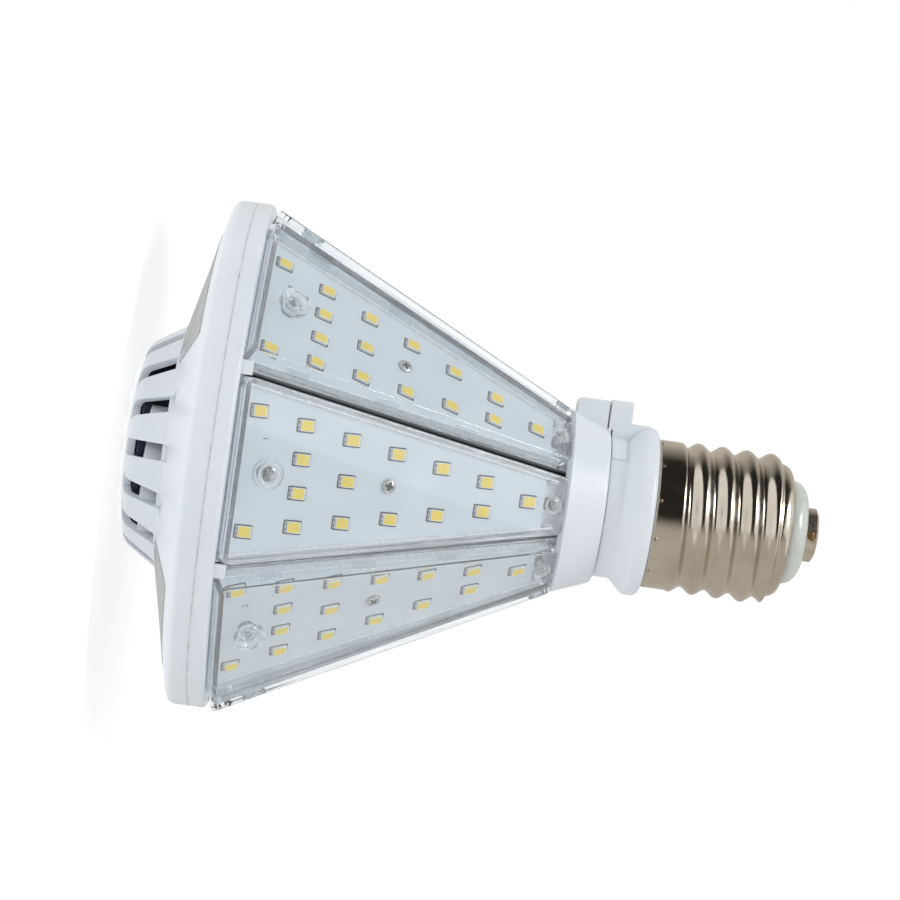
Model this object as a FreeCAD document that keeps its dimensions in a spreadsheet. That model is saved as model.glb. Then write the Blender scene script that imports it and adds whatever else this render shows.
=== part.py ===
import FreeCAD, Part
import math
import os
import re
import Sketcher
from FreeCAD import Placement, Rotation, Vector

# A corn lamp that stands on the flat face of its vented cap. Its axis is Z, the screw base is up,
# and the origin is the middle of the cap's flat face. Panel 0 faces -Y and the ears are at -X.

# Driving sizes in millimetres and degrees. A height is measured from the cap's flat face.
size = {
    # Vented cap and skirt
    "cap_flat_radius": 17.0,
    "cap_corner_radius": 26.0,
    "cap_corner_height": 1.8,
    "cap_rounding": 5.0,
    "cap_foot_radius": 32.0,
    "cap_foot_height": 11.1,
    "knee_radius": 48.0,
    "knee_height": 15.0,
    "head_radius": 65.5,
    "rim_height": 19.0,
    "rim_rounding": 2.5,
    "parting_height": 24.5,
    "moulding_wall": 2.0,
    # Louvred slots
    "slot_count": 16,
    "slot_width": 4.2,
    "slot_inner_radius": 21.0,
    "slot_end_height": 10.5,
    "notch_inner_radius": 31.2,
    "notch_outer_radius": 38.0,
    "notch_floor_height": 12.4,
    "vane_angle": 47.0,
    "vane_thick": 1.2,
    "vane_reach": 5.8,
    "vane_height": 5.8,
    # Filter behind the end face and film pads on the skirt
    "filter_radius": 23.6,
    "filter_thick": 2.0,
    "film_thick": 0.2,
    "film_inner_radius": 32.4,
    "film_outer_radius": 57.0,
    "spoke_half_width": 12.8,
    "spoke_flare": 20.9,
    # Fan
    "fan_width": 50.0,
    "fan_depth": 15.0,
    "fan_front_height": 13.8,
    "fan_turn": 11.25,
    "fan_corner_rounding": 3.0,
    "fan_bore_radius": 24.2,
    "fan_hole_pitch": 40.0,
    "fan_hole_radius": 2.15,
    "fan_motor_radius": 13.0,
    "fan_strut_width": 3.0,
    "fan_strut_thick": 2.2,
    "stator_radius": 9.5,
    "boss_radius": 3.0,
    "boss_height": 10.2,
    "pilot_radius": 1.2,
    "pilot_depth": 2.6,
    "hub_radius": 12.5,
    "hub_wall": 1.2,
    "hub_setback": 1.0,
    "hub_length": 10.6,
    "shaft_radius": 1.0,
    "shaft_clearance": 0.05,
    "bearing_radius": 3.0,
    "blade_count": 7,
    "blade_tip_radius": 23.0,
    "blade_root_chord": 10.0,
    "blade_tip_chord": 12.5,
    "blade_root_angle": 45.0,
    "blade_tip_angle": 28.0,
    "blade_thick": 1.2,
    "screw_head_radius": 2.9,
    "screw_head_thick": 1.8,
    # Ring that carries the wide ends of the panels
    "ring_thick": 4.3,
    "ring_rounding": 1.3,
    "ring_bore_apothem": 53.9,
    "tab_inset": 1.3,
    "tab_depth": 2.9,
    "tab_root": 0.5,
    "tab_inner_half_width": 0.6,
    "tab_outer_half_width": 1.9,
    "tab_height": 2.7,
    # Panels, whose own frames have X towards the neck and Z outwards from the board's front
    "panel_count": 8,
    "panel_tilt": 24.57,
    "panel_radius": 55.92,
    "panel_height": 34.27,
    "panel_gap": 0.85,
    "end_clearance": 0.3,
    # Clear covers
    "cover_start": 6.3,
    "cover_end": 84.3,
    "cover_wall": 1.45,
    "cover_rise": 5.85,
    "cover_end_rise": 3.1,
    "cover_corner": 2.0,
    "cover_edge_rounding": 0.6,
    "cover_boss_radius": 3.9,
    "cover_boss_depth": 1.6,
    # Boards and light sources
    "board_thick": 1.6,
    "board_start": 3.7,
    "board_end": 79.3,
    "board_clearance": 0.2,
    "led_length": 3.5,
    "led_width": 2.8,
    "led_thick": 0.8,
    "led_pitch": 12.5,
    "led_edge_inset": 7.27,
    # Screws in the panels
    "wide_screw_place": 2.9,
    "narrow_screw_place": 81.0,
    "board_screw_place": 36.0,
    "wide_screw_radius": 1.85,
    "wide_head_radius": 3.0,
    "narrow_screw_radius": 1.5,
    "narrow_head_radius": 2.2,
    "board_screw_radius": 1.0,
    "board_head_radius": 1.72,
    "board_head_thick": 0.9,
    "screw_clearance": 0.15,
    # Aluminium heat plates
    "plate_thick": 2.0,
    "plate_end": 87.5,
    "flank_depth": 3.6,
    "flank_wall": 1.4,
    "fin_thick": 1.4,
    "fin_depth": 8.0,
    "fin_start": 3.0,
    "middle_fin_end": 62.0,
    "side_fin_end": 40.0,
    "side_fin_offset": 10.0,
    # Collar that takes the narrow ends
    "collar_top": 122.5,
    "collar_radius": 23.8,
    "collar_top_radius": 19.9,
    "collar_rounding": 1.6,
    "collar_seat_radius": 21.0,
    "collar_throat_radius": 19.7,
    "collar_throat_height": 113.7,
    "collar_bore_radius": 16.5,
    # Ears with the hole of the locking screw
    "ear_half_width": 3.6,
    "ear_radius": 27.4,
    "ear_start": 113.0,
    "ear_end": 121.2,
    "ear_rounding": 1.8,
    "ear_hole_place": 24.9,
    "ear_hole_radius": 1.7,
    "ear_pilot_radius": 1.2,
    "ear_pilot_depth": 6.0,
    "neck_ear_start": 121.7,
    "neck_ear_end": 127.4,
    "neck_ear_radius": 27.8,
    # Neck with the flare and the spigots
    "spigot_radius": 16.3,
    "spigot_start": 114.6,
    "groove_radius": 18.2,
    "groove_start": 122.7,
    "flare_start": 127.2,
    "flare_end": 131.0,
    "flare_radius": 21.9,
    "flare_fillet": 2.0,
    "neck_end": 135.0,
    "neck_rounding": 2.3,
    "neck_bore_radius": 14.6,
    "shell_spigot_radius": 17.1,
    "shell_spigot_end": 141.5,
    "pad_rise": 0.45,
    "pad_half_angle": 44.0,
    "rib_inset": 11.8,
    "rib_half_width": 2.4,
    # Screw shell, insulator and contact
    "shell_start": 135.2,
    "band_end": 141.3,
    "band_radius": 19.3,
    "thread_radius": 19.65,
    "root_radius": 17.9,
    "thread_pitch": 6.35,
    "groove_half_width": 2.75,
    "thread_start": 141.1,
    "thread_length": 27.5,
    "shell_bore_radius": 17.3,
    "shell_shoulder": 166.2,
    "shell_end": 171.0,
    "shell_mouth_radius": 13.9,
    "shell_tip_land": 2.0,
    "shell_lip_thick": 1.2,
    "shell_rounding": 2.2,
    "insulator_start": 168.2,
    "insulator_radius": 13.6,
    "insulator_end": 175.9,
    "insulator_rise": 0.3,
    "insulator_brow_inset": 2.0,
    "insulator_brow_drop": 2.5,
    "insulator_crown_inset": 4.5,
    "insulator_crown_drop": 1.1,
    "contact_radius": 7.0,
    "contact_thick": 3.1,
    "contact_overhang": 0.2,
    "contact_bevel_width": 1.0,
    "contact_bevel_height": 0.6,
    "contact_stem_radius": 2.5,
    "contact_stem_clearance": 0.05,
    "contact_stem_reach": 1.7,
    # Driver
    "driver_width": 26.0,
    "driver_thick": 1.6,
    "driver_start": 42.0,
    "driver_end": 132.0,
    "driver_clearance": 0.15,
    "capacitor_radius": 6.25,
    "capacitor_length": 22.0,
    "capacitor_height": 48.0,
    "transformer_width": 17.0,
    "transformer_length": 18.0,
    "transformer_depth": 13.0,
    "transformer_height": 76.0,
    "choke_radius": 5.0,
    "choke_ring_radius": 2.4,
    "choke_height": 105.0,
    # Insulated leads
    "lead_radius": 0.8,
}

doc = FreeCAD.newDocument("CornLamp")
sheet = doc.addObject("Spreadsheet::Sheet", "Sizes")
for row, (word, value) in enumerate(size.items(), start=1):
    sheet.set("A%d" % row, word)
    sheet.set("B%d" % row, str(value))
    sheet.setAlias("B%d" % row, word)
doc.recompute()

pieces = []
panelCount = int(size["panel_count"])
panelStep = 360.0 / panelCount
axisX = Vector(1, 0, 0)
axisY = Vector(0, 1, 0)
axisZ = Vector(0, 0, 1)


def in_sheet(text):
    """The expression with the sheet's name before each of its words."""
    def reference(found):
        return "Sizes." + found[0] if found[0] in size else found[0]
    return re.sub(r"[a-z_]{2,}", reference, str(text))


def bind(item, path, text):
    item.setExpression(path, in_sheet(text))


def new_body(label):
    body = doc.addObject("PartDesign::Body", label)
    body.Label = label
    pieces.append(body)
    return body


def origin_item(body, role):
    return next(item for item in body.Origin.OriginFeatures if item.Role == role)


def new_sketch(body, name, plane, offset=None, turn_axis=axisZ, turn=0):
    """A sketch on an origin plane, moved by offset and turned in that plane's own directions."""
    sketch = body.newObject("Sketcher::SketchObject", name)
    sketch.AttachmentSupport = (origin_item(body, plane), [""])
    sketch.MapMode = "FlatFace"
    sketch.AttachmentOffset = Placement(Vector(), Rotation(turn_axis, 1.0))
    bind(sketch, ".AttachmentOffset.Rotation.Angle", turn)
    for direction, text in (offset or {}).items():
        bind(sketch, ".AttachmentOffset.Base." + direction, text)
    return sketch


def pin(sketch, kind, geometry, vertex, text):
    """Ties a point's distance from the sketch's origin to an expression."""
    number = sketch.addConstraint(Sketcher.Constraint(kind, -1, 1, geometry, vertex, 1.0))
    bind(sketch, "Constraints[%d]" % number, text)


def add_outline(sketch, points):
    """A closed outline of straight lines through points given as pairs of expressions."""
    first = sketch.GeometryCount
    count = len(points)
    corners = [Vector(math.cos(turn), math.sin(turn), 0) * 5
               for turn in (math.tau * number / count for number in range(count + 1))]
    for start, end in zip(corners, corners[1:]):
        sketch.addGeometry(Part.LineSegment(start, end))
    for number in range(count):
        following = first + (number + 1) % count
        sketch.addConstraint(Sketcher.Constraint("Coincident", first + number, 2, following, 1))
    for number, (across, up) in enumerate(points, start=first):
        pin(sketch, "DistanceX", number, 1, across)
        pin(sketch, "DistanceY", number, 1, up)


def round_corner(sketch, number, radius):
    """A tangent arc at a corner of the sketch's outline, which keeps the corner's place."""
    sketch.fillet(number, 1, 0.3, True, True)
    arc = max(index for index, item in enumerate(sketch.Geometry) if item.TypeId == "Part::GeomArcOfCircle")
    constraint = sketch.addConstraint(Sketcher.Constraint("Radius", arc, 0.3))
    bind(sketch, "Constraints[%d]" % constraint, radius)


def add_circle(sketch, across, up, radius):
    number = sketch.addGeometry(Part.Circle(Vector(1, 1, 0), axisZ, 2))
    pin(sketch, "DistanceX", number, 3, across)
    pin(sketch, "DistanceY", number, 3, up)
    constraint = sketch.addConstraint(Sketcher.Constraint("Radius", number, 2))
    bind(sketch, "Constraints[%d]" % constraint, radius)


def box_points(left, right, low, high):
    return [(left, low), (right, low), (right, high), (left, high)]


def octagon_points(apothem):
    """Corners of the ring's polygon, with a flat side towards each panel."""
    corner = "(%s) / cos(180 deg / panel_count)" % apothem
    turns = ["(%d + 0.5) * 360 deg / panel_count" % number for number in range(panelCount)]
    return [("%s * cos(%s)" % (corner, turn), "%s * sin(%s)" % (corner, turn)) for turn in turns]


def new_feature(body, kind, name, profile):
    feature = body.newObject("PartDesign::" + kind, name)
    feature.Profile = profile
    return feature


def pad(body, name, sketch, length, symmetric=False):
    feature = new_feature(body, "Pad", name, sketch)
    bind(feature, "Length", length)
    if symmetric:
        feature.SideType = "Symmetric"
    doc.recompute()
    return feature


def pocket(body, name, sketch, depth=None, upwards=False):
    """A pocket of a depth, or through everything on both sides of its sketch."""
    feature = new_feature(body, "Pocket", name, sketch)
    if depth is None:
        feature.Type = "ThroughAll"
        feature.SideType = "Symmetric"
    else:
        bind(feature, "Length", depth)
        feature.Reversed = upwards
    doc.recompute()
    return feature


def revolve(body, name, sketch, kind="Revolution"):
    feature = new_feature(body, kind, name, sketch)
    feature.ReferenceAxis = (sketch, ["V_Axis"])
    feature.Angle = 360
    doc.recompute()
    return feature


def polar(body, name, originals, count):
    """Copies of the features around the lamp's axis."""
    pattern = body.newObject("PartDesign::PolarPattern", name)
    pattern.Originals = originals
    pattern.Axis = (origin_item(body, "Z_Axis"), [""])
    pattern.Angle = 360
    bind(pattern, "Occurrences", count)
    body.Tip = pattern
    doc.recompute()
    return pattern


def edges_where(feature, wanted):
    edges = enumerate(feature.Shape.Edges, start=1)
    return ["Edge%d" % number for number, edge in edges if wanted(edge)]


def faces_where(feature, wanted):
    faces = enumerate(feature.Shape.Faces, start=1)
    return ["Face%d" % number for number, face in faces if wanted(face)]


def circle_at(radius, height):
    """A test for a circular edge about the lamp's axis."""
    def wanted(edge):
        curve = edge.Curve
        return (curve.TypeId == "Part::GeomCircle" and abs(curve.Radius - radius) < 0.01
                and abs(curve.Center.z - height) < 0.01)
    return wanted


def round_off(body, name, base, wanted, radius, kind="Fillet"):
    """A fillet or a chamfer on the edges of the base that pass the test."""
    feature = body.newObject("PartDesign::" + kind, name)
    feature.Base = (base, edges_where(base, wanted))
    bind(feature, "Radius" if kind == "Fillet" else "Size", radius)
    doc.recompute()
    return feature


def hollow(body, name, base, wanted, wall):
    """An even wall inwards from the outside, open at the faces that pass the test."""
    feature = body.newObject("PartDesign::Thickness", name)
    feature.Base = (base, faces_where(base, wanted))
    feature.Reversed = True
    feature.Join = "Arc"
    bind(feature, "Value", wall)
    doc.recompute()
    return feature


def cap_side_radius(height):
    """Outer radius of the cap's leaning side at a height."""
    lean = "(cap_foot_radius - cap_corner_radius) / (cap_foot_height - cap_corner_height)"
    return "(cap_corner_radius + (%s - cap_corner_height) * %s)" % (height, lean)


def skirt_height(radius, outer):
    """Height of the skirt's surface at a radius, on its outer or its inner stretch."""
    if outer:
        slope = "(rim_height - knee_height) / (head_radius - knee_radius)"
    else:
        slope = "(knee_height - cap_foot_height) / (knee_radius - cap_foot_radius)"
    return "(knee_height + (%s - knee_radius) * %s)" % (radius, slope)


# Rear housing: cap, skirt and rim in one hollow moulding, with slots, vanes and fan bosses
def rear_housing():
    body = new_body("rear_housing")
    section = new_sketch(body, "HousingSection", "XZ_Plane")
    add_outline(section, [
        ("0", "0"),
        ("cap_flat_radius", "0"),
        ("cap_corner_radius", "cap_corner_height"),
        ("cap_foot_radius", "cap_foot_height"),
        ("knee_radius", "knee_height"),
        ("head_radius", "rim_height"),
        ("head_radius", "parting_height"),
        ("0", "parting_height"),
    ])
    solid = revolve(body, "HousingSolid", section)
    corner = circle_at(size["cap_corner_radius"], size["cap_corner_height"])
    solid = round_off(body, "CapRounding", solid, corner, "cap_rounding")
    rim = circle_at(size["head_radius"], size["rim_height"])
    solid = round_off(body, "RimRounding", solid, rim, "rim_rounding")
    parting = size["parting_height"]
    hollow(body, "HousingWall", solid, lambda face: face.BoundBox.ZMin > parting - 0.01, "moulding_wall")

    slot = new_sketch(body, "SlotSection", "XZ_Plane")
    add_outline(slot, [
        ("slot_inner_radius", "-1"),
        ("notch_outer_radius", "-1"),
        ("notch_outer_radius", "notch_floor_height"),
        ("notch_inner_radius", "notch_floor_height"),
        ("notch_inner_radius", "slot_end_height"),
        ("slot_inner_radius", "slot_end_height"),
    ])
    cut = new_feature(body, "Pocket", "Slot", slot)
    cut.SideType = "Symmetric"
    bind(cut, "Length", "slot_width")
    doc.recompute()
    polar(body, "Slots", [cut], "slot_count")

    # Each vane starts beside its slot and leans across behind it
    root = cap_side_radius("vane_height") + " - 0.6 * moulding_wall"
    climb = "(%s - %s - 0.2 * moulding_wall)" % (cap_side_radius("cap_foot_height"), cap_side_radius("vane_height"))
    vane = new_sketch(body, "VaneOutline", "XZ_Plane",
                      {"x": root, "z": "-(slot_width + vane_thick) / 2"}, axisY, "vane_angle")
    add_outline(vane, [
        ("0", "vane_height"),
        ("%s / cos(vane_angle * 1 deg)" % climb, "cap_foot_height"),
        ("-vane_reach", "cap_foot_height"),
        ("-vane_reach", "vane_height"),
    ])
    polar(body, "Vanes", [pad(body, "Vane", vane, "vane_thick", symmetric=True)], "slot_count")

    boss_across = "fan_hole_pitch / sqrt(2) * cos(45 deg + fan_turn * 1 deg)"
    boss_up = "fan_hole_pitch / sqrt(2) * sin(45 deg + fan_turn * 1 deg)"
    boss = new_sketch(body, "BossOutline", "XY_Plane", {"z": "boss_height"})
    add_circle(boss, boss_across, boss_up, "boss_radius")
    boss_pad = pad(body, "Boss", boss, "fan_front_height - boss_height")
    polar(body, "Bosses", [boss_pad], 4)
    pilot = new_sketch(body, "PilotOutline", "XY_Plane", {"z": "fan_front_height"})
    add_circle(pilot, boss_across, boss_up, "pilot_radius")
    polar(body, "Pilots", [pocket(body, "Pilot", pilot, "pilot_depth")], 4)


# Blank film pads on both halves of the skirt, notched at the slots
def skirt_films():
    body = new_body("skirt_films")
    section = new_sketch(body, "FilmSection", "XZ_Plane")
    inner = skirt_height("film_inner_radius", outer=False)
    outer = skirt_height("film_outer_radius", outer=True)
    add_outline(section, [
        ("film_inner_radius", inner),
        ("knee_radius", "knee_height"),
        ("film_outer_radius", outer),
        ("film_outer_radius", outer + " - film_thick"),
        ("knee_radius", "knee_height - film_thick"),
        ("film_inner_radius", inner + " - film_thick"),
    ])
    revolve(body, "FilmRing", section)
    spoke = new_sketch(body, "SpokeOutline", "XY_Plane")
    far = "film_outer_radius + 2"
    far_half = "spoke_half_width + (%s) * tan(spoke_flare * 1 deg)" % far
    near_half = "spoke_half_width + 2 * tan(spoke_flare * 1 deg)"
    add_outline(spoke, [
        ("-(%s)" % near_half, "2"),
        (near_half, "2"),
        (far_half, far),
        ("-(%s)" % far_half, far),
    ])
    polar(body, "Spokes", [pocket(body, "Spoke", spoke)], 2)
    notch = new_sketch(body, "NotchOutline", "XY_Plane")
    add_outline(notch, box_points("notch_inner_radius - 2", "notch_outer_radius", "-slot_width / 2", "slot_width / 2"))
    polar(body, "Notches", [pocket(body, "Notch", notch)], "slot_count")


# Filter disc that lies against the inside of the cap
def dust_filter():
    body = new_body("dust_filter")
    disc = new_sketch(body, "FilterOutline", "XY_Plane", {"z": "vane_height - filter_thick - 0.3"})
    add_circle(disc, "0", "0", "filter_radius")
    pad(body, "FilterDisc", disc, "filter_thick")


# Fan frame: square duct, motor plate on four struts, stator and bearing tube
def fan_frame():
    body = new_body("fan_frame")
    half = "fan_width / 2"
    square = new_sketch(body, "FrameOutline", "XY_Plane", {"z": "fan_front_height"})
    add_outline(square, box_points("-" + half, half, "-" + half, half))
    add_circle(square, "0", "0", "fan_bore_radius")
    duct = pad(body, "FrameDuct", square, "fan_depth")
    reach = size["fan_width"] / 2

    def is_corner(edge):
        middle = edge.BoundBox.Center
        return edge.BoundBox.ZLength > 1 and abs(middle.x) > reach - 0.1 and abs(middle.y) > reach - 0.1

    round_off(body, "FrameCorners", duct, is_corner, "fan_corner_rounding")
    back = "fan_front_height + fan_depth"
    plate = new_sketch(body, "MotorPlate", "XY_Plane", {"z": back + " - fan_strut_thick"})
    add_circle(plate, "0", "0", "fan_motor_radius")
    pad(body, "MotorPlatePad", plate, "fan_strut_thick")
    strut = new_sketch(body, "StrutOutline", "XY_Plane", {"z": back + " - fan_strut_thick"})
    add_outline(strut, box_points("fan_motor_radius - 2", "fan_bore_radius + 0.4",
                                  "-fan_strut_width / 2", "fan_strut_width / 2"))
    polar(body, "Struts", [pad(body, "Strut", strut, "fan_strut_thick")], 4)
    stator = new_sketch(body, "StatorOutline", "XY_Plane", {"z": "fan_front_height + hub_setback + hub_wall + 2.4"})
    add_circle(stator, "0", "0", "stator_radius")
    pad(body, "Stator", stator, "fan_depth - hub_setback - hub_wall - 2.4 - fan_strut_thick / 2")
    tube = new_sketch(body, "TubeOutline", "XY_Plane", {"z": "fan_front_height + hub_setback + hub_wall + 0.6"})
    add_circle(tube, "0", "0", "bearing_radius")
    pad(body, "BearingTube", tube, "3")
    bearing = new_sketch(body, "BearingOutline", "XY_Plane", {"z": "fan_front_height"})
    add_circle(bearing, "0", "0", "shaft_radius + shaft_clearance")
    pocket(body, "Bearing", bearing, "fan_depth - fan_strut_thick / 2", upwards=True)
    hole = new_sketch(body, "FrameHoles", "XY_Plane")
    for across, up in ((1, 1), (-1, 1), (-1, -1), (1, -1)):
        add_circle(hole, "%d * fan_hole_pitch / 2" % across, "%d * fan_hole_pitch / 2" % up, "fan_hole_radius")
    pocket(body, "FrameHole", hole)
    body.Placement.Rotation = Rotation(axisZ, size["fan_turn"])


# Fan rotor: cup-shaped hub with its shaft and twisted blades
def fan_rotor():
    body = new_body("fan_rotor")
    front = "fan_front_height + hub_setback"
    section = new_sketch(body, "HubSection", "XZ_Plane")
    add_outline(section, [
        ("0", front),
        ("hub_radius", front),
        ("hub_radius", front + " + hub_length"),
        ("hub_radius - hub_wall", front + " + hub_length"),
        ("hub_radius - hub_wall", front + " + hub_wall"),
        ("shaft_radius", front + " + hub_wall"),
        ("shaft_radius", "fan_front_height + fan_depth - fan_strut_thick"),
        ("0", "fan_front_height + fan_depth - fan_strut_thick"),
    ])
    revolve(body, "Hub", section)
    middle = front + " + hub_length / 2"
    sketches = []
    for end, place in (("root", "hub_radius - hub_wall / 2"), ("tip", "blade_tip_radius")):
        sketch = new_sketch(body, "Blade" + end.capitalize(), "YZ_Plane", {"z": place})
        chord = "blade_%s_chord / 2" % end
        lean = "(blade_%s_angle * 1 deg)" % end
        corners = []
        for along, through in ((-1, -1), (1, -1), (1, 1), (-1, 1)):
            across = "%d * %s * cos%s - %d * blade_thick / 2 * sin%s" % (along, chord, lean, through, lean)
            up = "%s + %d * %s * sin%s + %d * blade_thick / 2 * cos%s" % (middle, along, chord, lean, through, lean)
            corners.append((across, up))
        add_outline(sketch, corners)
        sketches.append(sketch)
    blade = new_feature(body, "AdditiveLoft", "Blade", sketches[0])
    blade.Sections = [sketches[1]]
    blade.Ruled = True
    doc.recompute()
    polar(body, "Blades", [blade], "blade_count")


# Four screws through the frame into the bosses of the rear housing
def fan_screws():
    body = new_body("fan_screws")
    back = "fan_front_height + fan_depth"
    place = {"x": "fan_hole_pitch / 2", "z": "-fan_hole_pitch / 2"}
    section = new_sketch(body, "FanScrewSection", "XZ_Plane", place)
    tip = "fan_front_height - pilot_depth + 0.4"
    add_outline(section, [
        ("0", tip),
        ("pilot_radius - 0.05", tip),
        ("pilot_radius - 0.05", back),
        ("screw_head_radius", back),
        ("screw_head_radius", back + " + screw_head_thick"),
        ("0", back + " + screw_head_thick"),
    ])
    polar(body, "FanScrews", [revolve(body, "FanScrew", section)], 4)
    body.Placement.Rotation = Rotation(axisZ, size["fan_turn"])


def end_plane_height(along, radius):
    """Height at a radius of the plane that is square to the boards at a place along them."""
    lean = "panel_tilt * 1 deg"
    return "(panel_height + (%s) / cos(%s) + (%s - panel_radius) * tan(%s))" % (along, lean, radius, lean)


# Front ring: bevelled eight-sided seat for the panels and a small tab in each gap
def front_ring():
    body = new_body("front_ring")
    outline = new_sketch(body, "RingOutline", "XY_Plane", {"z": "parting_height"})
    add_circle(outline, "0", "0", "head_radius")
    add_outline(outline, octagon_points("ring_bore_apothem"))
    ring = pad(body, "RingBody", outline, "ring_thick")
    top = size["parting_height"] + size["ring_thick"]
    round_off(body, "RingRounding", ring, circle_at(size["head_radius"], top), "ring_rounding")

    # The seat lies along the planes that the wide ends of the panels face
    top_radius = "(head_radius - ring_rounding)"
    place = "-(cover_start + end_clearance)"
    sketches = []
    for name, apothem in (("SeatLow", "ring_bore_apothem"), ("SeatHigh", top_radius)):
        sketch = new_sketch(body, name, "XY_Plane", {"z": end_plane_height(place, apothem)})
        add_outline(sketch, octagon_points(apothem))
        sketches.append(sketch)
    bevel = new_feature(body, "SubtractiveLoft", "Seat", sketches[0])
    bevel.Sections = [sketches[1]]
    bevel.Ruled = True
    doc.recompute()

    tab_outer = "(head_radius - tab_inset)"
    tab_inner = tab_outer + " - tab_depth"
    tab = new_sketch(body, "TabOutline", "XY_Plane", {"z": "parting_height + ring_thick - tab_root"}, axisZ,
                     "180 / panel_count")
    add_outline(tab, [
        (tab_inner, "-tab_inner_half_width"),
        (tab_outer, "-tab_outer_half_width"),
        (tab_outer, "tab_outer_half_width"),
        (tab_inner, "tab_inner_half_width"),
    ])
    polar(body, "Tabs", [pad(body, "Tab", tab, "tab_height + tab_root")], "panel_count")


def panel_placement(number):
    """Panel frame: X along the board towards the neck, Z outwards, panel 0 facing -Y."""
    turn = Rotation(axisZ, number * panelStep)
    lean = Rotation(axisX, -size["panel_tilt"])
    upright = Rotation(Vector(0, 0, 1), Vector(-1, 0, 0), Vector(0, -1, 0), "XYZ")
    place = Vector(0, -size["panel_radius"], size["panel_height"])
    return Placement(turn.multVec(place), turn * lean * upright)


def half_width(along, depth="board_thick"):
    """Half of the width between neighbouring panels at a place along the board and below it."""
    apothem = "panel_radius - (%s) * cos(panel_tilt * 1 deg) - (%s) * sin(panel_tilt * 1 deg)" % (depth, along)
    return "((%s) * tan(180 deg / panel_count) - panel_gap)" % apothem


def trapezoid(start, end, inset):
    """Outline that keeps the same inset from both edges of the panel."""
    wide = "(%s - %s)" % (half_width(start), inset)
    narrow = "(%s - %s)" % (half_width(end), inset)
    return [(start, "-" + wide), (end, "-" + narrow), (end, narrow), (start, wide)]


# Heat plate: folded plate with sloping flanks, three fins and the holes of the panel's screws
def heat_plate(number):
    body = new_body("heat_plate_%d" % (number + 1))
    back = "board_thick + plate_thick"
    edge = "board_thick + flank_depth"
    sketches = []
    for name, along in (("PlateWide", "-cover_start"), ("PlateNarrow", "plate_end")):
        sketch = new_sketch(body, name, "YZ_Plane", {"z": along})
        right = [
            (half_width(along), "-board_thick"),
            (half_width(along, edge), "-(%s)" % edge),
            (half_width(along, edge) + " - flank_wall", "-(%s)" % edge),
            (half_width(along, back) + " - flank_wall", "-(%s)" % back),
        ]
        left = [("-(%s)" % across, up) for across, up in reversed(right)]
        add_outline(sketch, right + left)
        sketches.append(sketch)
    plate = new_feature(body, "AdditiveLoft", "Plate", sketches[0])
    plate.Sections = [sketches[1]]
    plate.Ruled = True
    doc.recompute()
    fins = new_sketch(body, "FinOutline", "XY_Plane", {"z": "-(%s) - fin_depth" % back})
    add_outline(fins, box_points("fin_start", "middle_fin_end", "-fin_thick / 2", "fin_thick / 2"))
    for side in ("-1", "1"):
        place = side + " * side_fin_offset"
        add_outline(fins, box_points("fin_start", "side_fin_end", place + " - fin_thick / 2", place + " + fin_thick / 2"))
    pad(body, "Fins", fins, "fin_depth + plate_thick / 2")
    holes = new_sketch(body, "PlateHoles", "XY_Plane")
    add_circle(holes, "wide_screw_place", "0", "wide_screw_radius + 0.05")
    add_circle(holes, "board_screw_place", "0", "board_screw_radius + 0.05")
    add_circle(holes, "narrow_screw_place", "0", "narrow_screw_radius + 0.05")
    pocket(body, "PlateHole", holes, "board_thick + plate_thick + 0.2")
    return body


# White board of one panel
def led_board(number):
    body = new_body("led_board_%d" % (number + 1))
    outline = new_sketch(body, "BoardOutline", "XY_Plane", {"z": "-board_thick"})
    add_outline(outline, trapezoid("-board_start", "board_end", "(cover_wall + board_clearance)"))
    add_circle(outline, "wide_screw_place", "0", "wide_screw_radius + screw_clearance")
    add_circle(outline, "board_screw_place", "0", "board_screw_radius + screw_clearance")
    pad(body, "Board", outline, "board_thick")
    return body


def led_places():
    """Middles of the light sources, in rows that narrow towards the neck."""
    places = []
    slope = math.sin(math.radians(size["panel_tilt"])) * math.tan(math.radians(panelStep / 2))
    front = size["panel_radius"] - size["board_thick"] * math.cos(math.radians(size["panel_tilt"]))
    edge = front * math.tan(math.radians(panelStep / 2)) - size["panel_gap"] - size["led_edge_inset"]
    shares = ((-1, 1), (-1, -1 / 3, 1 / 3, 1), (-1, 0, 1), (-1, 1), (-1, 1), (-1, 1), (0,))
    for column, row in enumerate(shares):
        along = column * size["led_pitch"]
        places.extend((along, share * (edge - along * slope)) for share in row)
    return places


# Sixteen surface-mounted light sources of one panel
def led_group(number):
    sources = []
    for along, across in led_places():
        source = doc.addObject("Part::Box", "Source")
        bind(source, "Length", "led_length")
        bind(source, "Width", "led_width")
        bind(source, "Height", "led_thick")
        source.Placement.Base = Vector(along - size["led_length"] / 2, across - size["led_width"] / 2, 0)
        sources.append(source)
    group = doc.addObject("Part::Compound", "leds_%d" % (number + 1))
    group.Links = sources
    group.Label = "leds_%d" % (number + 1)
    pieces.append(group)
    return group


def cover_rise(along):
    """Height of the cover's outer face above the board at a place along it."""
    slope = "(cover_end_rise - cover_rise) / (cover_end + cover_start)"
    return "(cover_rise + (%s + cover_start) * %s)" % (along, slope)


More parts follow.
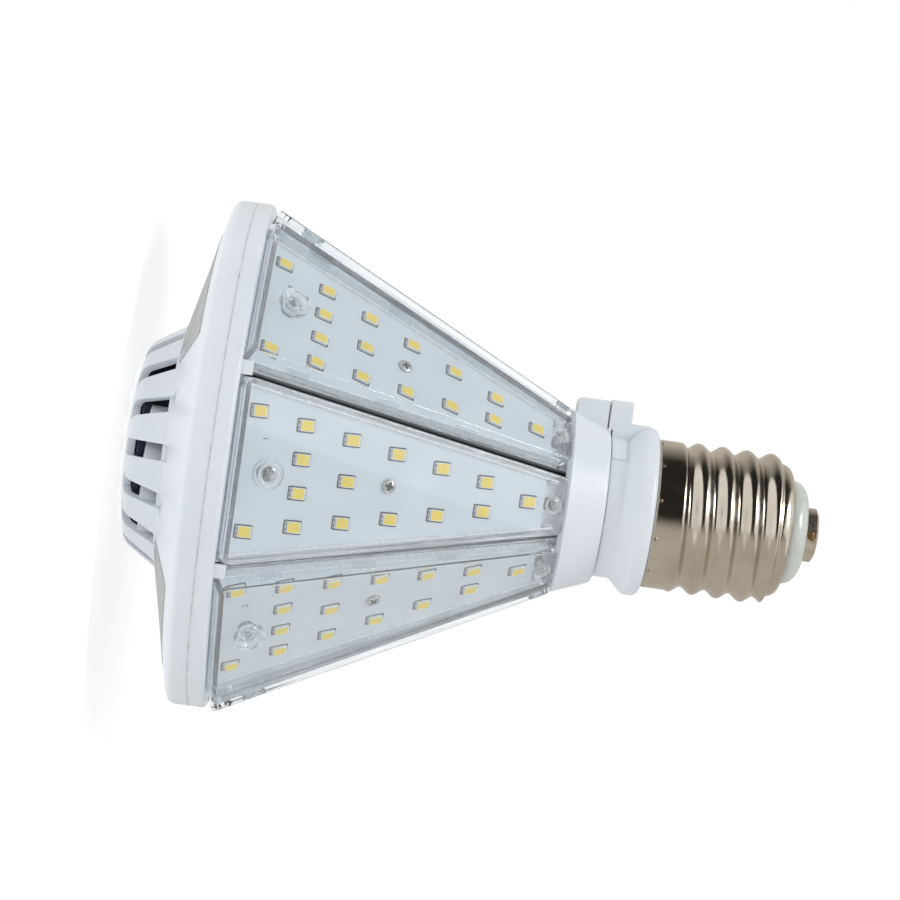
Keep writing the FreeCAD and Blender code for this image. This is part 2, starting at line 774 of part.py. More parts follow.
# Clear cover: open tray with a face that comes nearer to the board towards the neck
def cover(number):
    body = new_body("cover_%d" % (number + 1))
    outline = new_sketch(body, "CoverOutline", "XY_Plane", {"z": "-board_thick"})
    add_outline(outline, trapezoid("-cover_start", "cover_end", "0"))
    pad(body, "Tray", outline, "board_thick + cover_rise + 1")
    above = new_sketch(body, "FaceSlope", "XZ_Plane")
    add_outline(above, [
        ("-cover_start - 1", cover_rise("(-cover_start - 1)")),
        ("cover_end + 1", cover_rise("(cover_end + 1)")),
        ("cover_end + 1", "cover_rise + 2"),
        ("-cover_start - 1", "cover_rise + 2"),
    ])
    tray = pocket(body, "FaceCut", above)

    def is_outer_upright(edge):
        box = edge.BoundBox
        outside = min(box.Center.x + size["cover_start"], size["cover_end"] - box.Center.x) < 0.1
        return box.ZLength > 4 and box.XLength < 0.1 and box.YLength < 0.1 and outside

    def is_top(edge):
        box = edge.BoundBox
        face = size["cover_rise"] - (size["cover_rise"] - size["cover_end_rise"]) * (
            (box.XMax + size["cover_start"]) / (size["cover_end"] + size["cover_start"]))
        return box.ZMin > face - 0.05

    under = -size["board_thick"]
    tray = hollow(body, "TrayWall", tray, lambda face: face.BoundBox.ZMax < under + 0.01, "cover_wall")
    tray = round_off(body, "TrayCorners", tray, is_outer_upright, "cover_corner")
    round_off(body, "TrayEdges", tray, is_top, "cover_edge_rounding")
    face = cover_rise("wide_screw_place")
    boss = new_sketch(body, "FunnelBoss", "XY_Plane", {"z": face + " - cover_wall - cover_boss_depth"})
    add_circle(boss, "wide_screw_place", "0", "cover_boss_radius")
    pad(body, "Funnel", boss, "cover_boss_depth + cover_wall / 2")
    holes = new_sketch(body, "CoverHoles", "XY_Plane")
    add_circle(holes, "wide_screw_place", "0", "wide_screw_radius + screw_clearance")
    add_circle(holes, "narrow_screw_place", "0", "narrow_screw_radius + screw_clearance")
    drilled = pocket(body, "CoverHole", holes, "cover_rise + 1", upwards=True)

    def is_mouth(place, rise):
        def wanted(edge):
            middle = edge.BoundBox.Center
            return (edge.BoundBox.XLength < 5 and abs(middle.x - size[place]) < 0.1
                    and abs(middle.y) < 0.1 and middle.z > rise)
        return wanted

    mouth_rise = size["cover_end_rise"] - 0.2
    wide_sink = "wide_head_radius - wide_screw_radius + 0.25"
    drilled = round_off(body, "WideSink", drilled, is_mouth("wide_screw_place", mouth_rise + 1.5), wide_sink, "Chamfer")
    narrow_sink = "narrow_head_radius - narrow_screw_radius + 0.25"
    round_off(body, "NarrowSink", drilled, is_mouth("narrow_screw_place", mouth_rise), narrow_sink, "Chamfer")
    return body


def screw_sketch(body, name, along):
    """A sketch whose vertical axis is square to the front of panel 0, at a place along it."""
    across = "-(panel_radius - (%s) * sin(panel_tilt * 1 deg))" % along
    up = "panel_height + (%s) * cos(panel_tilt * 1 deg)" % along
    return new_sketch(body, name, "YZ_Plane", {"x": across, "y": up}, axisZ, "90 - panel_tilt")


# Two clear screws in each cover, which pass the board and end in the heat plate
def cover_screws():
    body = new_body("cover_screws")
    features = []
    tip = "-(board_thick + plate_thick)"
    for end in ("wide", "narrow"):
        along = end + "_screw_place"
        shank = end + "_screw_radius"
        head = end + "_head_radius"
        top = cover_rise(along) + " - 0.25"
        sketch = screw_sketch(body, end.capitalize() + "Screw", along)
        add_outline(sketch, [
            ("0", tip),
            (shank, tip),
            (shank, "%s - (%s - %s)" % (top, head, shank)),
            (head, top),
            ("0", top),
        ])
        features.append(revolve(body, end.capitalize() + "ScrewTurn", sketch))
    polar(body, "CoverScrews", features, "panel_count")


# One cross-head screw in each board
def board_screws():
    body = new_body("board_screws")
    sketch = screw_sketch(body, "BoardScrew", "board_screw_place")
    tip = "-(board_thick + plate_thick)"
    add_outline(sketch, [
        ("0", tip),
        ("board_screw_radius", tip),
        ("board_screw_radius", "0.02"),
        ("board_head_radius", "0.02"),
        ("board_head_radius", "board_head_thick * 0.4"),
        ("board_head_radius * 0.6", "board_head_thick"),
        ("0", "board_head_thick"),
    ])
    polar(body, "BoardScrews", [revolve(body, "BoardScrewTurn", sketch)], "panel_count")


def add_ear(body, prefix, start, end, radius, inner):
    """A lug at -X with rounded outer corners."""
    outline = new_sketch(body, prefix + "EarOutline", "XZ_Plane")
    add_outline(outline, box_points("-(%s)" % radius, "-(%s)" % inner, start, end))
    return pad(body, prefix + "Ear", outline, "2 * ear_half_width", symmetric=True)


def ear_edges(radius_word, heights):
    """A test for the outer edges of an ear, across the lug at the given heights."""
    def wanted(edge):
        box = edge.BoundBox
        return (abs(box.Center.x + size[radius_word]) < 0.01 and box.YLength > 1
                and any(abs(box.Center.z - size[height]) < 0.01 for height in heights))
    return wanted


# Collar over the narrow ends of the panels, with an ear for the locking screw
def collar():
    body = new_body("collar")
    seat = "cover_end + end_clearance"
    section = new_sketch(body, "CollarSection", "XZ_Plane")
    add_outline(section, [
        ("collar_radius", end_plane_height(seat, "collar_radius")),
        ("collar_top_radius", "collar_top"),
        ("collar_bore_radius", "collar_top"),
        ("collar_bore_radius", "collar_throat_height"),
        ("collar_throat_radius", "collar_throat_height"),
        ("collar_seat_radius", end_plane_height(seat, "collar_seat_radius")),
    ])
    ring = revolve(body, "CollarTurn", section)
    top = circle_at(size["collar_top_radius"], size["collar_top"])
    round_off(body, "CollarRounding", ring, top, "collar_rounding")
    ear = add_ear(body, "Collar", "ear_start", "ear_end", "ear_radius", "collar_bore_radius + 1.5")
    round_off(body, "EarRounding", ear, ear_edges("ear_radius", ("ear_start",)), "ear_rounding")
    pilot = new_sketch(body, "EarPilot", "XY_Plane", {"z": "ear_end"})
    add_circle(pilot, "-ear_hole_place", "0", "ear_pilot_radius")
    pocket(body, "EarPilotHole", pilot, "ear_pilot_depth")


# Neck: spigot in the collar, groove, flare, spigot for the shell, and ribs for the driver
def neck():
    body = new_body("neck")
    section = new_sketch(body, "NeckSection", "XZ_Plane")
    add_outline(section, [
        ("neck_bore_radius", "spigot_start"),
        ("spigot_radius", "spigot_start"),
        ("spigot_radius", "groove_start"),
        ("groove_radius", "groove_start"),
        ("groove_radius", "flare_start"),
        ("flare_radius", "flare_end"),
        ("flare_radius", "neck_end"),
        ("shell_spigot_radius", "neck_end"),
        ("shell_spigot_radius", "shell_spigot_end"),
        ("neck_bore_radius", "shell_spigot_end"),
    ])
    doc.recompute()
    for corner, radius in ((4, "flare_fillet"), (5, "neck_rounding"), (6, "neck_rounding * 0.8")):
        round_corner(section, corner, radius)
    revolve(body, "NeckTurn", section)

    # The ear stands on a web across the groove, over a low pad around the groove's side
    low_pad = new_sketch(body, "PadSection", "XZ_Plane")
    add_outline(low_pad, box_points("-(groove_radius + pad_rise)", "-(groove_radius - 0.5)",
                                    "groove_start + 0.15", "flare_start - 0.5"))
    wrap = new_feature(body, "Revolution", "LowPad", low_pad)
    wrap.ReferenceAxis = (low_pad, ["V_Axis"])
    wrap.Midplane = True
    bind(wrap, "Angle", "2 * pad_half_angle")
    doc.recompute()
    add_ear(body, "Web", "groove_start + 0.1", "flare_end + 1.5", "flare_radius + 0.25", "groove_radius - 0.6")
    ear = add_ear(body, "Neck", "neck_ear_start", "neck_ear_end", "neck_ear_radius", "collar_top_radius + 0.4")
    round_off(body, "EarRounding", ear, ear_edges("neck_ear_radius", ("neck_ear_start",)), "ear_rounding / 2")
    hole = new_sketch(body, "EarHole", "XY_Plane", {"z": "neck_ear_start - 1"})
    add_circle(hole, "-ear_hole_place", "0", "ear_hole_radius")
    pocket(body, "EarHoleCut", hole, "neck_ear_end - neck_ear_start + 2", upwards=True)

    rib = new_sketch(body, "RibOutline", "XY_Plane", {"z": "spigot_start"})
    add_outline(rib, box_points("rib_inset", "neck_bore_radius + 0.5", "-rib_half_width", "rib_half_width"))
    polar(body, "Ribs", [pad(body, "Rib", rib, "driver_end + 2 - spigot_start")], 2)
    slot = new_sketch(body, "DriverSlot", "XY_Plane", {"z": "spigot_start - 1"})
    reach = "driver_width / 2 + driver_clearance"
    gap = "driver_thick / 2 + driver_clearance"
    add_outline(slot, box_points("-(%s)" % reach, reach, "-(%s)" % gap, gap))
    pocket(body, "DriverSlotCut", slot, "driver_end + 1 + driver_clearance - spigot_start", upwards=True)


def add_arc(sketch, points):
    """An arc through three points, each given as across and up."""
    arc = Part.Arc(*[Vector(across, up, 0) for across, up in points])
    return sketch.addGeometry(arc)


# Screw shell with the rounded thread, open at the neck and drawn in at the tip
def screw_shell():
    body = new_body("screw_shell")
    section = new_sketch(body, "ShellSection", "XZ_Plane")
    add_outline(section, [
        ("shell_bore_radius", "shell_start"),
        ("band_radius", "shell_start"),
        ("band_radius", "band_end"),
        ("thread_radius", "band_end + thread_radius - band_radius"),
        ("thread_radius", "shell_shoulder"),
        ("shell_mouth_radius + shell_tip_land", "shell_end"),
        ("shell_mouth_radius", "shell_end"),
        ("shell_mouth_radius", "shell_end - shell_lip_thick"),
        ("shell_bore_radius", "shell_shoulder - 1"),
    ])
    turned = revolve(body, "ShellTurn", section)
    shoulder = circle_at(size["thread_radius"], size["shell_shoulder"])
    tip = circle_at(size["shell_mouth_radius"] + size["shell_tip_land"], size["shell_end"])
    round_off(body, "ShellRounding", turned, lambda edge: shoulder(edge) or tip(edge), "shell_rounding")

    # Groove section: a hollow between two rounded flanks, which starts behind the ears' side
    groove = new_sketch(body, "ThreadSection", "YZ_Plane")
    middle = size["thread_start"]
    half = size["groove_half_width"]
    root = size["root_radius"]
    crest = size["thread_radius"] + 0.02
    waist = (root + crest) / 2
    lower = [(crest, middle - half), (waist + 0.55, middle - half * 0.74), (waist, middle - half * 0.5)]
    hollow_arc = [(waist, middle - half * 0.5), (root, middle), (waist, middle + half * 0.5)]
    upper = [(waist, middle + half * 0.5), (waist + 0.55, middle + half * 0.74), (crest, middle + half)]
    for points in (lower, hollow_arc, upper):
        add_arc(groove, points)
    outside = crest + 1.5
    corners = [(crest, middle + half), (outside, middle + half), (outside, middle - half), (crest, middle - half)]
    for start, end in zip(corners, corners[1:]):
        groove.addGeometry(Part.LineSegment(Vector(*start, 0), Vector(*end, 0)))
    thread = new_feature(body, "SubtractiveHelix", "Thread", groove)
    thread.ReferenceAxis = (groove, ["V_Axis"])
    thread.Mode = 0
    bind(thread, "Pitch", "thread_pitch")
    bind(thread, "Height", "thread_length")
    doc.recompute()


# Insulator dome between the shell and the contact
def insulator():
    body = new_body("insulator")
    section = new_sketch(body, "InsulatorSection", "XZ_Plane")
    add_outline(section, [
        ("contact_stem_radius + contact_stem_clearance", "insulator_start"),
        ("insulator_radius", "insulator_start"),
        ("insulator_radius", "shell_end + insulator_rise"),
        ("insulator_radius - insulator_brow_inset", "insulator_end - insulator_brow_drop"),
        ("insulator_radius - insulator_crown_inset", "insulator_end - insulator_crown_drop"),
        ("contact_radius - contact_overhang", "insulator_end"),
        ("contact_stem_radius + contact_stem_clearance", "insulator_end"),
    ])
    revolve(body, "InsulatorTurn", section)


# Centre contact with its rivet stem
def centre_contact():
    body = new_body("centre_contact")
    section = new_sketch(body, "ContactSection", "XZ_Plane")
    add_outline(section, [
        ("0", "insulator_start - contact_stem_reach"),
        ("contact_stem_radius", "insulator_start - contact_stem_reach"),
        ("contact_stem_radius", "insulator_end"),
        ("contact_radius", "insulator_end"),
        ("contact_radius", "insulator_end + contact_thick - contact_bevel_height"),
        ("contact_radius - contact_bevel_width", "insulator_end + contact_thick"),
        ("0", "insulator_end + contact_thick"),
    ])
    revolve(body, "ContactTurn", section)


def add_primitive(kind, label, sizes, placement):
    item = doc.addObject("Part::" + kind, label)
    item.Label = label
    for name, text in sizes.items():
        bind(item, name, text)
    item.Placement = placement
    return item


# Driver board in the neck's ribs, with its three large components
def driver():
    face = -size["driver_thick"] / 2 - 0.05
    corner = Vector(-size["driver_width"] / 2, -size["driver_thick"] / 2, size["driver_start"])
    sizes = {"Length": "driver_width", "Width": "driver_thick", "Height": "driver_end - driver_start"}
    pieces.append(add_primitive("Box", "driver_board", sizes, Placement(corner, Rotation())))
    middle = Vector(0, face - size["capacitor_radius"], size["capacitor_height"])
    sizes = {"Radius": "capacitor_radius", "Height": "capacitor_length"}
    pieces.append(add_primitive("Cylinder", "capacitor", sizes, Placement(middle, Rotation())))
    corner = Vector(-size["transformer_width"] / 2, face - size["transformer_depth"], size["transformer_height"])
    sizes = {"Length": "transformer_width", "Width": "transformer_depth", "Height": "transformer_length"}
    pieces.append(add_primitive("Box", "transformer", sizes, Placement(corner, Rotation())))
    middle = Vector(0, face - size["choke_ring_radius"], size["choke_height"])
    sizes = {"Radius1": "choke_radius", "Radius2": "choke_ring_radius"}
    pieces.append(add_primitive("Torus", "choke", sizes, Placement(middle, Rotation(axisX, 90))))


def lead_path(points):
    """Straight runs joined by tangent arcs as large as the two runs allow."""
    edges = []
    start = points[0]
    for before, corner, after in zip(points, points[1:], points[2:]):
        arrive = (before - corner).normalize()
        leave = (after - corner).normalize()
        trim = 0.45 * min((before - corner).Length, (after - corner).Length)
        half_turn = (math.pi - arrive.getAngle(leave)) / 2
        radius = trim / math.tan(half_turn)
        toward = (arrive + leave).normalize()
        middle = corner + toward * (radius / math.cos(half_turn) - radius)
        arc_start = corner + arrive * trim
        arc_end = corner + leave * trim
        edges.append(Part.LineSegment(start, arc_start).toShape())
        edges.append(Part.Arc(arc_start, middle, arc_end).toShape())
        print("lead radius", round(radius, 1))
        start = arc_end
    edges.append(Part.LineSegment(start, points[-1]).toShape())
    return Part.Wire(edges)


# Insulated leads inside: driver to contact, driver to shell, and fan to driver
def leads():
    board_top = size["driver_end"]
    back = size["fan_front_height"] + size["fan_depth"]
    side = size["driver_thick"] / 2 + size["lead_radius"] + 0.05
    stem = size["insulator_start"] - size["contact_stem_reach"]
    shell = size["shell_bore_radius"] - size["lead_radius"]
    joint = size["shell_start"] + 12.8
    routes = {
        "contact_lead": [Vector(4, side, board_top - 6), Vector(4, side, board_top + 8),
                         Vector(0, 0, stem - 10.5), Vector(0, 0, stem - 0.05)],
        "shell_lead": [Vector(-6, side, board_top - 6), Vector(-6, side, board_top + 6),
                       Vector(-shell, 0, joint), Vector(-shell, 0, joint + 10)],
        "fan_lead": [Vector(-9, side + 8, back + 0.3), Vector(-9, side + 6, back + 7),
                     Vector(-9, side, size["driver_start"] + 2), Vector(-9, side, size["driver_start"] + 10)],
    }
    for label, points in routes.items():
        path = lead_path(points)
        heading = points[1] - points[0]
        disc = Part.Face(Part.Wire(Part.makeCircle(size["lead_radius"], points[0], heading)))
        lead = doc.addObject("Part::Feature", label)
        lead.Label = label
        lead.Shape = path.makePipeShell([disc.OuterWire], True, False)
        section = math.pi * size["lead_radius"] ** 2
        print(label, "volume against section times length", lead.Shape.Volume / (section * path.Length))
        pieces.append(lead)


rear_housing()
skirt_films()
dust_filter()
fan_frame()
fan_rotor()
fan_screws()
front_ring()
for panel in range(panelCount):
    for make in (heat_plate, led_board, led_group, cover):
        make(panel).Placement = panel_placement(panel)
cover_screws()
board_screws()
collar()
neck()
screw_shell()
insulator()
centre_contact()
driver()
leads()
doc.recompute()

for item in doc.Objects:
    faults = [state for state in item.State if state in ("Invalid", "Error")]
    if faults:
        raise RuntimeError("%s is %s" % (item.Label, faults))

os.makedirs("parts", exist_ok=True)
for piece in pieces:
    shape = piece.Shape
    if shape.isNull() or not shape.isValid():
        raise RuntimeError("%s has no valid shape" % piece.Label)
    print(piece.Label, len(shape.Solids), round(shape.Volume, 2))
    shape.exportStep("parts/%s.step" % piece.Label)
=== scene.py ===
import math
import bmesh
import bpy
from mathutils import Matrix, Vector


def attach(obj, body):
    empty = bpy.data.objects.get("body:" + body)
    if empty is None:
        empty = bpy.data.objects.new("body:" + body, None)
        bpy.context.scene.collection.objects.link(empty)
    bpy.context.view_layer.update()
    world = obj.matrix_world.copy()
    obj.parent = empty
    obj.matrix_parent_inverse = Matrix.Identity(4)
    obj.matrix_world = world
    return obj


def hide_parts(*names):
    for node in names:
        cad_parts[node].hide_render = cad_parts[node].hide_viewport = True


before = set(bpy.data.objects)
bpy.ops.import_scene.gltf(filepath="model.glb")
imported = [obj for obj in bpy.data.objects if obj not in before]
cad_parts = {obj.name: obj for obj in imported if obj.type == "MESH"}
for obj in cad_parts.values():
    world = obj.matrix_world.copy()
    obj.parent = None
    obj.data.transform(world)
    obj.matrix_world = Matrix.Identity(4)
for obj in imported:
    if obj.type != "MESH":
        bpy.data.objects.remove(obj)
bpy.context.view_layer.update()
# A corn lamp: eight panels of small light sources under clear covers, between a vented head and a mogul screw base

mm = 0.001
panelTotal = 8
panelFrame = {"radius": 55.92, "height": 34.27, "tilt": 24.57, "gap": 0.85, "boardThick": 1.6}


def put(tree, kind, inputs=None, **settings):
    # adds a node, sets what it is told and links what is a socket
    made = tree.nodes.new(kind)
    for key, value in settings.items():
        setattr(made, key, value)
    for key, value in (inputs or {}).items():
        if isinstance(value, bpy.types.NodeSocket):
            tree.links.new(value, made.inputs[key])
        else:
            made.inputs[key].default_value = value
    return made


def shade(red, green, blue):
    # a colour as a screen shows it, from 0 to 255, as linear light
    linear = [(v / 255 / 12.92) if v < 11 else ((v / 255 + 0.055) / 1.055) ** 2.4 for v in (red, green, blue)]
    return (*linear, 1.0)


def linked(name, mesh):
    made = bpy.data.objects.new(name, mesh)
    bpy.context.scene.collection.objects.link(made)
    return made


def panelMatrix(number):
    # X runs up the board towards the neck and Z stands out from its front
    turn = Matrix.Rotation(math.radians(number * 360 / panelTotal), 4, "Z")
    place = Matrix.Translation(Vector((0, -panelFrame["radius"], panelFrame["height"])) * mm)
    lean = Matrix.Rotation(math.radians(-panelFrame["tilt"]), 4, "X")
    upright = Matrix(((0, -1, 0, 0), (0, 0, -1, 0), (1, 0, 0, 0), (0, 0, 0, 1)))
    return turn @ place @ lean @ upright


def sideLine(along, depth):
    # half of a panel's width at a place along it and a depth below the board's front, in mm
    tilt = math.radians(panelFrame["tilt"])
    apothem = panelFrame["radius"] - depth * math.cos(tilt) - along * math.sin(tilt)
    return apothem * math.tan(math.pi / panelTotal) - panelFrame["gap"]


# The camera stands where the photograph's did, with the lamp's axis across the picture
cameraSetup = {
    "lens": 110.16,
    "sensor": 36.0,
    "place": (-40.75, -713.67, 64.70),
    "right": (-0.13863, -0.01771, 0.99018),
    "down": (0.98935, -0.04722, 0.13767),
    "forward": (0.04432, 0.99873, 0.02407),
}


def makeCamera():
    data = bpy.data.cameras.new("camera")
    data.lens = cameraSetup["lens"]
    data.sensor_width = cameraSetup["sensor"]
    data.clip_start = 0.01
    data.clip_end = 50
    camera = linked("camera", data)
    axes = Matrix((cameraSetup["right"], [-v for v in cameraSetup["down"]], [-v for v in cameraSetup["forward"]]))
    camera.matrix_world = Matrix.Translation(Vector(cameraSetup["place"]) * mm) @ axes.transposed().to_4x4()
    bpy.context.scene.camera = camera


makeCamera()
bpy.context.scene.view_settings.view_transform = "Standard"
print("camera in place")


# Plain pale floor, a white surround for what the camera and polished things see, and soft lamps
stageSetup = {
    "floorRadius": 6.0,
    "floorShare": 0.32,
    "shareFades": (0.3, 0.9),
    "floorGlow": 1.14,
    "tableShare": 0.5,
    "tableGlow": 1.38,
    "skyColour": (0.96, 0.98, 1.0, 1.0),
    "skyStrength": 0.55,
    "aim": (0, 0, 0.08),
}
# Only polished surfaces see the cards, which stand round the lamp and run in over the floor
cardForm = {"radius": 0.5, "foot": 0.001, "steps": 48, "tint": (1, 0.95, 0.875)}
cards = {
    "paleCard": {"turns": (-265, -228), "inner": (0.16, 0.16), "top": (0.80, 0.80), "tones": (0.60, 0.60)},
    "fadingCard": {"turns": (-228, -186), "inner": (0.16, 0.19), "top": (0.80, 0.72), "tones": (0.60, 0.02)},
    "darkCard": {"turns": (-186, -90), "inner": (0.19, 0.30), "top": (0.72, 0.44), "tones": (0.02, 0.02)},
    "risingCard": {"turns": (-90, -74), "inner": (0.30, 0.14), "top": (0.44, 1.20), "tones": (0.02, 0.54)},
    "greyCard": {"turns": (-74, 95), "inner": (0.09, 0.09), "top": (1.50, 1.50), "tones": (0.56, 0.56)},
}
lamps = {
    "keyLamp": {"place": (-0.8, -0.7, 1.85), "size": 0.9, "power": 16.8, "colour": (1.0, 1.0, 1.0)},
    "fillLamp": {"place": (1.1, -0.7, 0.55), "size": 1.2, "power": 1.4, "colour": (1.0, 0.99, 0.98)},
    "backLamp": {"place": (0.2, 1.3, 0.9), "size": 1.2, "power": 3.0, "colour": (0.97, 0.98, 1.0)},
}


def between(tree, factor, low, high, start=0.3, end=0.7):
    limits = {"Value": factor, "From Min": start, "From Max": end, "To Min": low, "To Max": high}
    return put(tree, "ShaderNodeMapRange", limits).outputs["Result"]


def seenDirectly(tree):
    # 1 for rays from the camera and for mirrored and refracted ones
    path = put(tree, "ShaderNodeLightPath")
    most = put(tree, "ShaderNodeMath", {0: path.outputs["Is Camera Ray"], 1: path.outputs["Is Glossy Ray"]},
               operation="MAXIMUM")
    most = put(tree, "ShaderNodeMath", {0: most.outputs[0], 1: path.outputs["Is Transmission Ray"]},
               operation="MAXIMUM")
    return most.outputs[0]


def emptyTree(block):
    block.use_nodes = True
    block.node_tree.nodes.clear()
    return block.node_tree


def makeCard(name, card):
    material = bpy.data.materials.new(name)
    tree = emptyTree(material)
    level = put(tree, "ShaderNodeAttribute", attribute_name="tone")
    tone = put(tree, "ShaderNodeEmission", {"Color": level.outputs["Color"], "Strength": 1.0})
    put(tree, "ShaderNodeOutputMaterial", {"Surface": tone.outputs[0]})
    points, faces, tones = [], [], []
    for step in range(cardForm["steps"] + 1):
        share = step / cardForm["steps"]
        turn, inner, top, level = (first + (last - first) * share for first, last in card.values())
        turn = math.radians(turn)
        for reach, height in ((inner, cardForm["foot"]), (cardForm["radius"], cardForm["foot"]), (cardForm["radius"], top)):
            points.append((math.cos(turn) * reach, math.sin(turn) * reach, height))
            tones += [level * part for part in cardForm["tint"]] + [1.0]
        if step:
            first = step * 3
            faces += [(first - 3, first, first + 1, first - 2), (first - 2, first + 1, first + 2, first - 1)]
    mesh = bpy.data.meshes.new(name)
    mesh.from_pydata(points, [], faces)
    mesh.materials.append(material)
    mesh.color_attributes.new("tone", "FLOAT_COLOR", "POINT").data.foreach_set("color", tones)
    piece = linked(name, mesh)
    for ray in ("camera", "diffuse", "transmission", "shadow", "volume_scatter"):
        setattr(piece, "visible_" + ray, False)
    return piece


def makeStage():
    world = bpy.data.worlds.new("studio")
    tree = emptyTree(world)
    direct = seenDirectly(tree)
    soft = put(tree, "ShaderNodeBackground", {"Color": stageSetup["skyColour"], "Strength": stageSetup["skyStrength"]})
    white = put(tree, "ShaderNodeBackground", {"Color": (1, 1, 1, 1), "Strength": 1.0})
    both = put(tree, "ShaderNodeMixShader", {0: direct, 1: soft.outputs[0], 2: white.outputs[0]})
    put(tree, "ShaderNodeOutputWorld", {"Surface": both.outputs[0]})
    bpy.context.scene.world = world

    material = bpy.data.materials.new("paleFloor")
    tree = emptyTree(material)
    direct = seenDirectly(tree)
    paper = put(tree, "ShaderNodeBsdfDiffuse", {"Color": (0.86, 0.86, 0.86, 1)})
    glow = put(tree, "ShaderNodeEmission", {"Color": (1, 1, 1, 1), "Strength": stageSetup["floorGlow"]})
    vector = put(tree, "ShaderNodeTexCoord").outputs["Object"]
    away = put(tree, "ShaderNodeVectorMath", {0: vector}, operation="LENGTH").outputs["Value"]
    share = between(tree, away, stageSetup["floorShare"], 0, *stageSetup["shareFades"])
    lit = put(tree, "ShaderNodeMixShader", {0: share, 1: glow.outputs[0], 2: paper.outputs[0]})
    under = put(tree, "ShaderNodeEmission", {"Color": (1, 1, 1, 1), "Strength": stageSetup["tableGlow"]})
    table = put(tree, "ShaderNodeMixShader", {0: stageSetup["tableShare"], 1: paper.outputs[0], 2: under.outputs[0]})
    both = put(tree, "ShaderNodeMixShader", {0: direct, 1: table.outputs[0], 2: lit.outputs[0]})
    put(tree, "ShaderNodeOutputMaterial", {"Surface": both.outputs[0]})
    disc = bmesh.new()
    bmesh.ops.create_circle(disc, cap_ends=True, segments=64, radius=stageSetup["floorRadius"])
    mesh = bpy.data.meshes.new("floor")
    disc.to_mesh(mesh)
    mesh.transform(Matrix.Translation((0, 0, -0.0001)))
    mesh.materials.append(material)
    floor = linked("floor", mesh)

    [makeCard(name, card) for name, card in cards.items()]

    for name, lamp in lamps.items():
        data = bpy.data.lights.new(name, "AREA")
        data.shape = "DISK"
        data.size = lamp["size"]
        data.energy = lamp["power"]
        data.color = lamp["colour"]
        light = linked(name, data)
        place = Vector(lamp["place"])
        light.location = place
        light.rotation_euler = (Vector(stageSetup["aim"]) - place).to_track_quat("-Z", "Y").to_euler()


makeStage()
print("floor and lamps in place")


# Finishes
def newFinish(name):
    material = bpy.data.materials.new(name)
    material.use_nodes = True
    tree = material.node_tree
    return material, tree, tree.nodes["Principled BSDF"]


def noise(tree, vector, grain, detail=3.0, roughness=0.55):
    # grain is the size of the pattern in mm
    pattern = {"Vector": vector, "Scale": 1 / (grain * mm), "Detail": detail, "Roughness": roughness}
    return put(tree, "ShaderNodeTexNoise", pattern).outputs["Fac"]


def blended(tree, factor, first, second):
    mix = put(tree, "ShaderNodeMix", data_type="RGBA")
    for index, value in ((0, factor), (6, first), (7, second)):
        if isinstance(value, bpy.types.NodeSocket):
            tree.links.new(value, mix.inputs[index])
        else:
            mix.inputs[index].default_value = value
    return mix.outputs[2]


def finish(name, colour, other, patch, roughness, grain, height, metallic=0.0, stretch=None, turn=None, **own):
    # colour drifts to other over patches, roughness lies in a range, and grain and height in mm make the relief
    material, tree, shader = newFinish(name)
    vector = put(tree, "ShaderNodeTexCoord").outputs["Object"]
    if turn:
        vector = put(tree, "ShaderNodeMapping", {"Vector": vector, "Rotation": turn}).outputs[0]
    if stretch:
        vector = put(tree, "ShaderNodeMapping", {"Vector": vector, "Scale": stretch}).outputs[0]
    tree.links.new(blended(tree, between(tree, noise(tree, vector, patch), 0, 1), colour, other), shader.inputs["Base Color"])
    tree.links.new(between(tree, noise(tree, vector, patch * 0.37), *roughness), shader.inputs["Roughness"])
    relief = put(tree, "ShaderNodeBump", {"Height": noise(tree, vector, grain), "Strength": 1.0, "Distance": height * mm})
    tree.links.new(relief.outputs[0], shader.inputs["Normal"])
    shader.inputs["Metallic"].default_value = metallic
    for key, value in own.items():
        shader.inputs[key.replace("_", " ")].default_value = value
    return material, tree, shader


def throughLight(material, tree, shader, tint):
    # lets lamp light pass straight through a clear piece onto what lies behind it
    path = put(tree, "ShaderNodeLightPath")
    passing = put(tree, "ShaderNodeMath", {0: path.outputs["Is Shadow Ray"], 1: path.outputs["Is Diffuse Ray"]},
                  operation="MAXIMUM")
    clear = put(tree, "ShaderNodeBsdfTransparent", {"Color": tint})
    both = put(tree, "ShaderNodeMixShader", {0: passing.outputs[0], 1: shader.outputs[0], 2: clear.outputs[0]})
    tree.links.new(both.outputs[0], tree.nodes["Material Output"].inputs["Surface"])
    return material


def recoloured(material, tree, shader, factor, colour):
    base = shader.inputs["Base Color"].links[0].from_socket
    tree.links.new(blended(tree, factor, base, colour), shader.inputs["Base Color"])
    return material


def partingSeam(material, tree, shader, height, width):
    # the joint of two mouldings is a thin broken line that holds a little dust
    vector = put(tree, "ShaderNodeTexCoord").outputs["Object"]
    axes = put(tree, "ShaderNodeSeparateXYZ", {"Vector": vector})
    away = put(tree, "ShaderNodeMath", {0: axes.outputs["Z"], 1: height * mm}, operation="SUBTRACT")
    away = put(tree, "ShaderNodeMath", {0: away.outputs[0]}, operation="ABSOLUTE")
    line = between(tree, away.outputs[0], 1, 0, width * 0.4 * mm, width * mm)
    broken = between(tree, noise(tree, vector, 5, 6, 0.8), 0.05, 0.9, 0.42, 0.66)
    line = put(tree, "ShaderNodeMath", {0: line, 1: broken}, operation="MULTIPLY")
    return recoloured(material, tree, shader, line.outputs[0], shade(150, 138, 128))


def toned(name, colour, other, *surface, **own):
    return finish(name, shade(*colour), shade(*other), *surface, **own)[0]


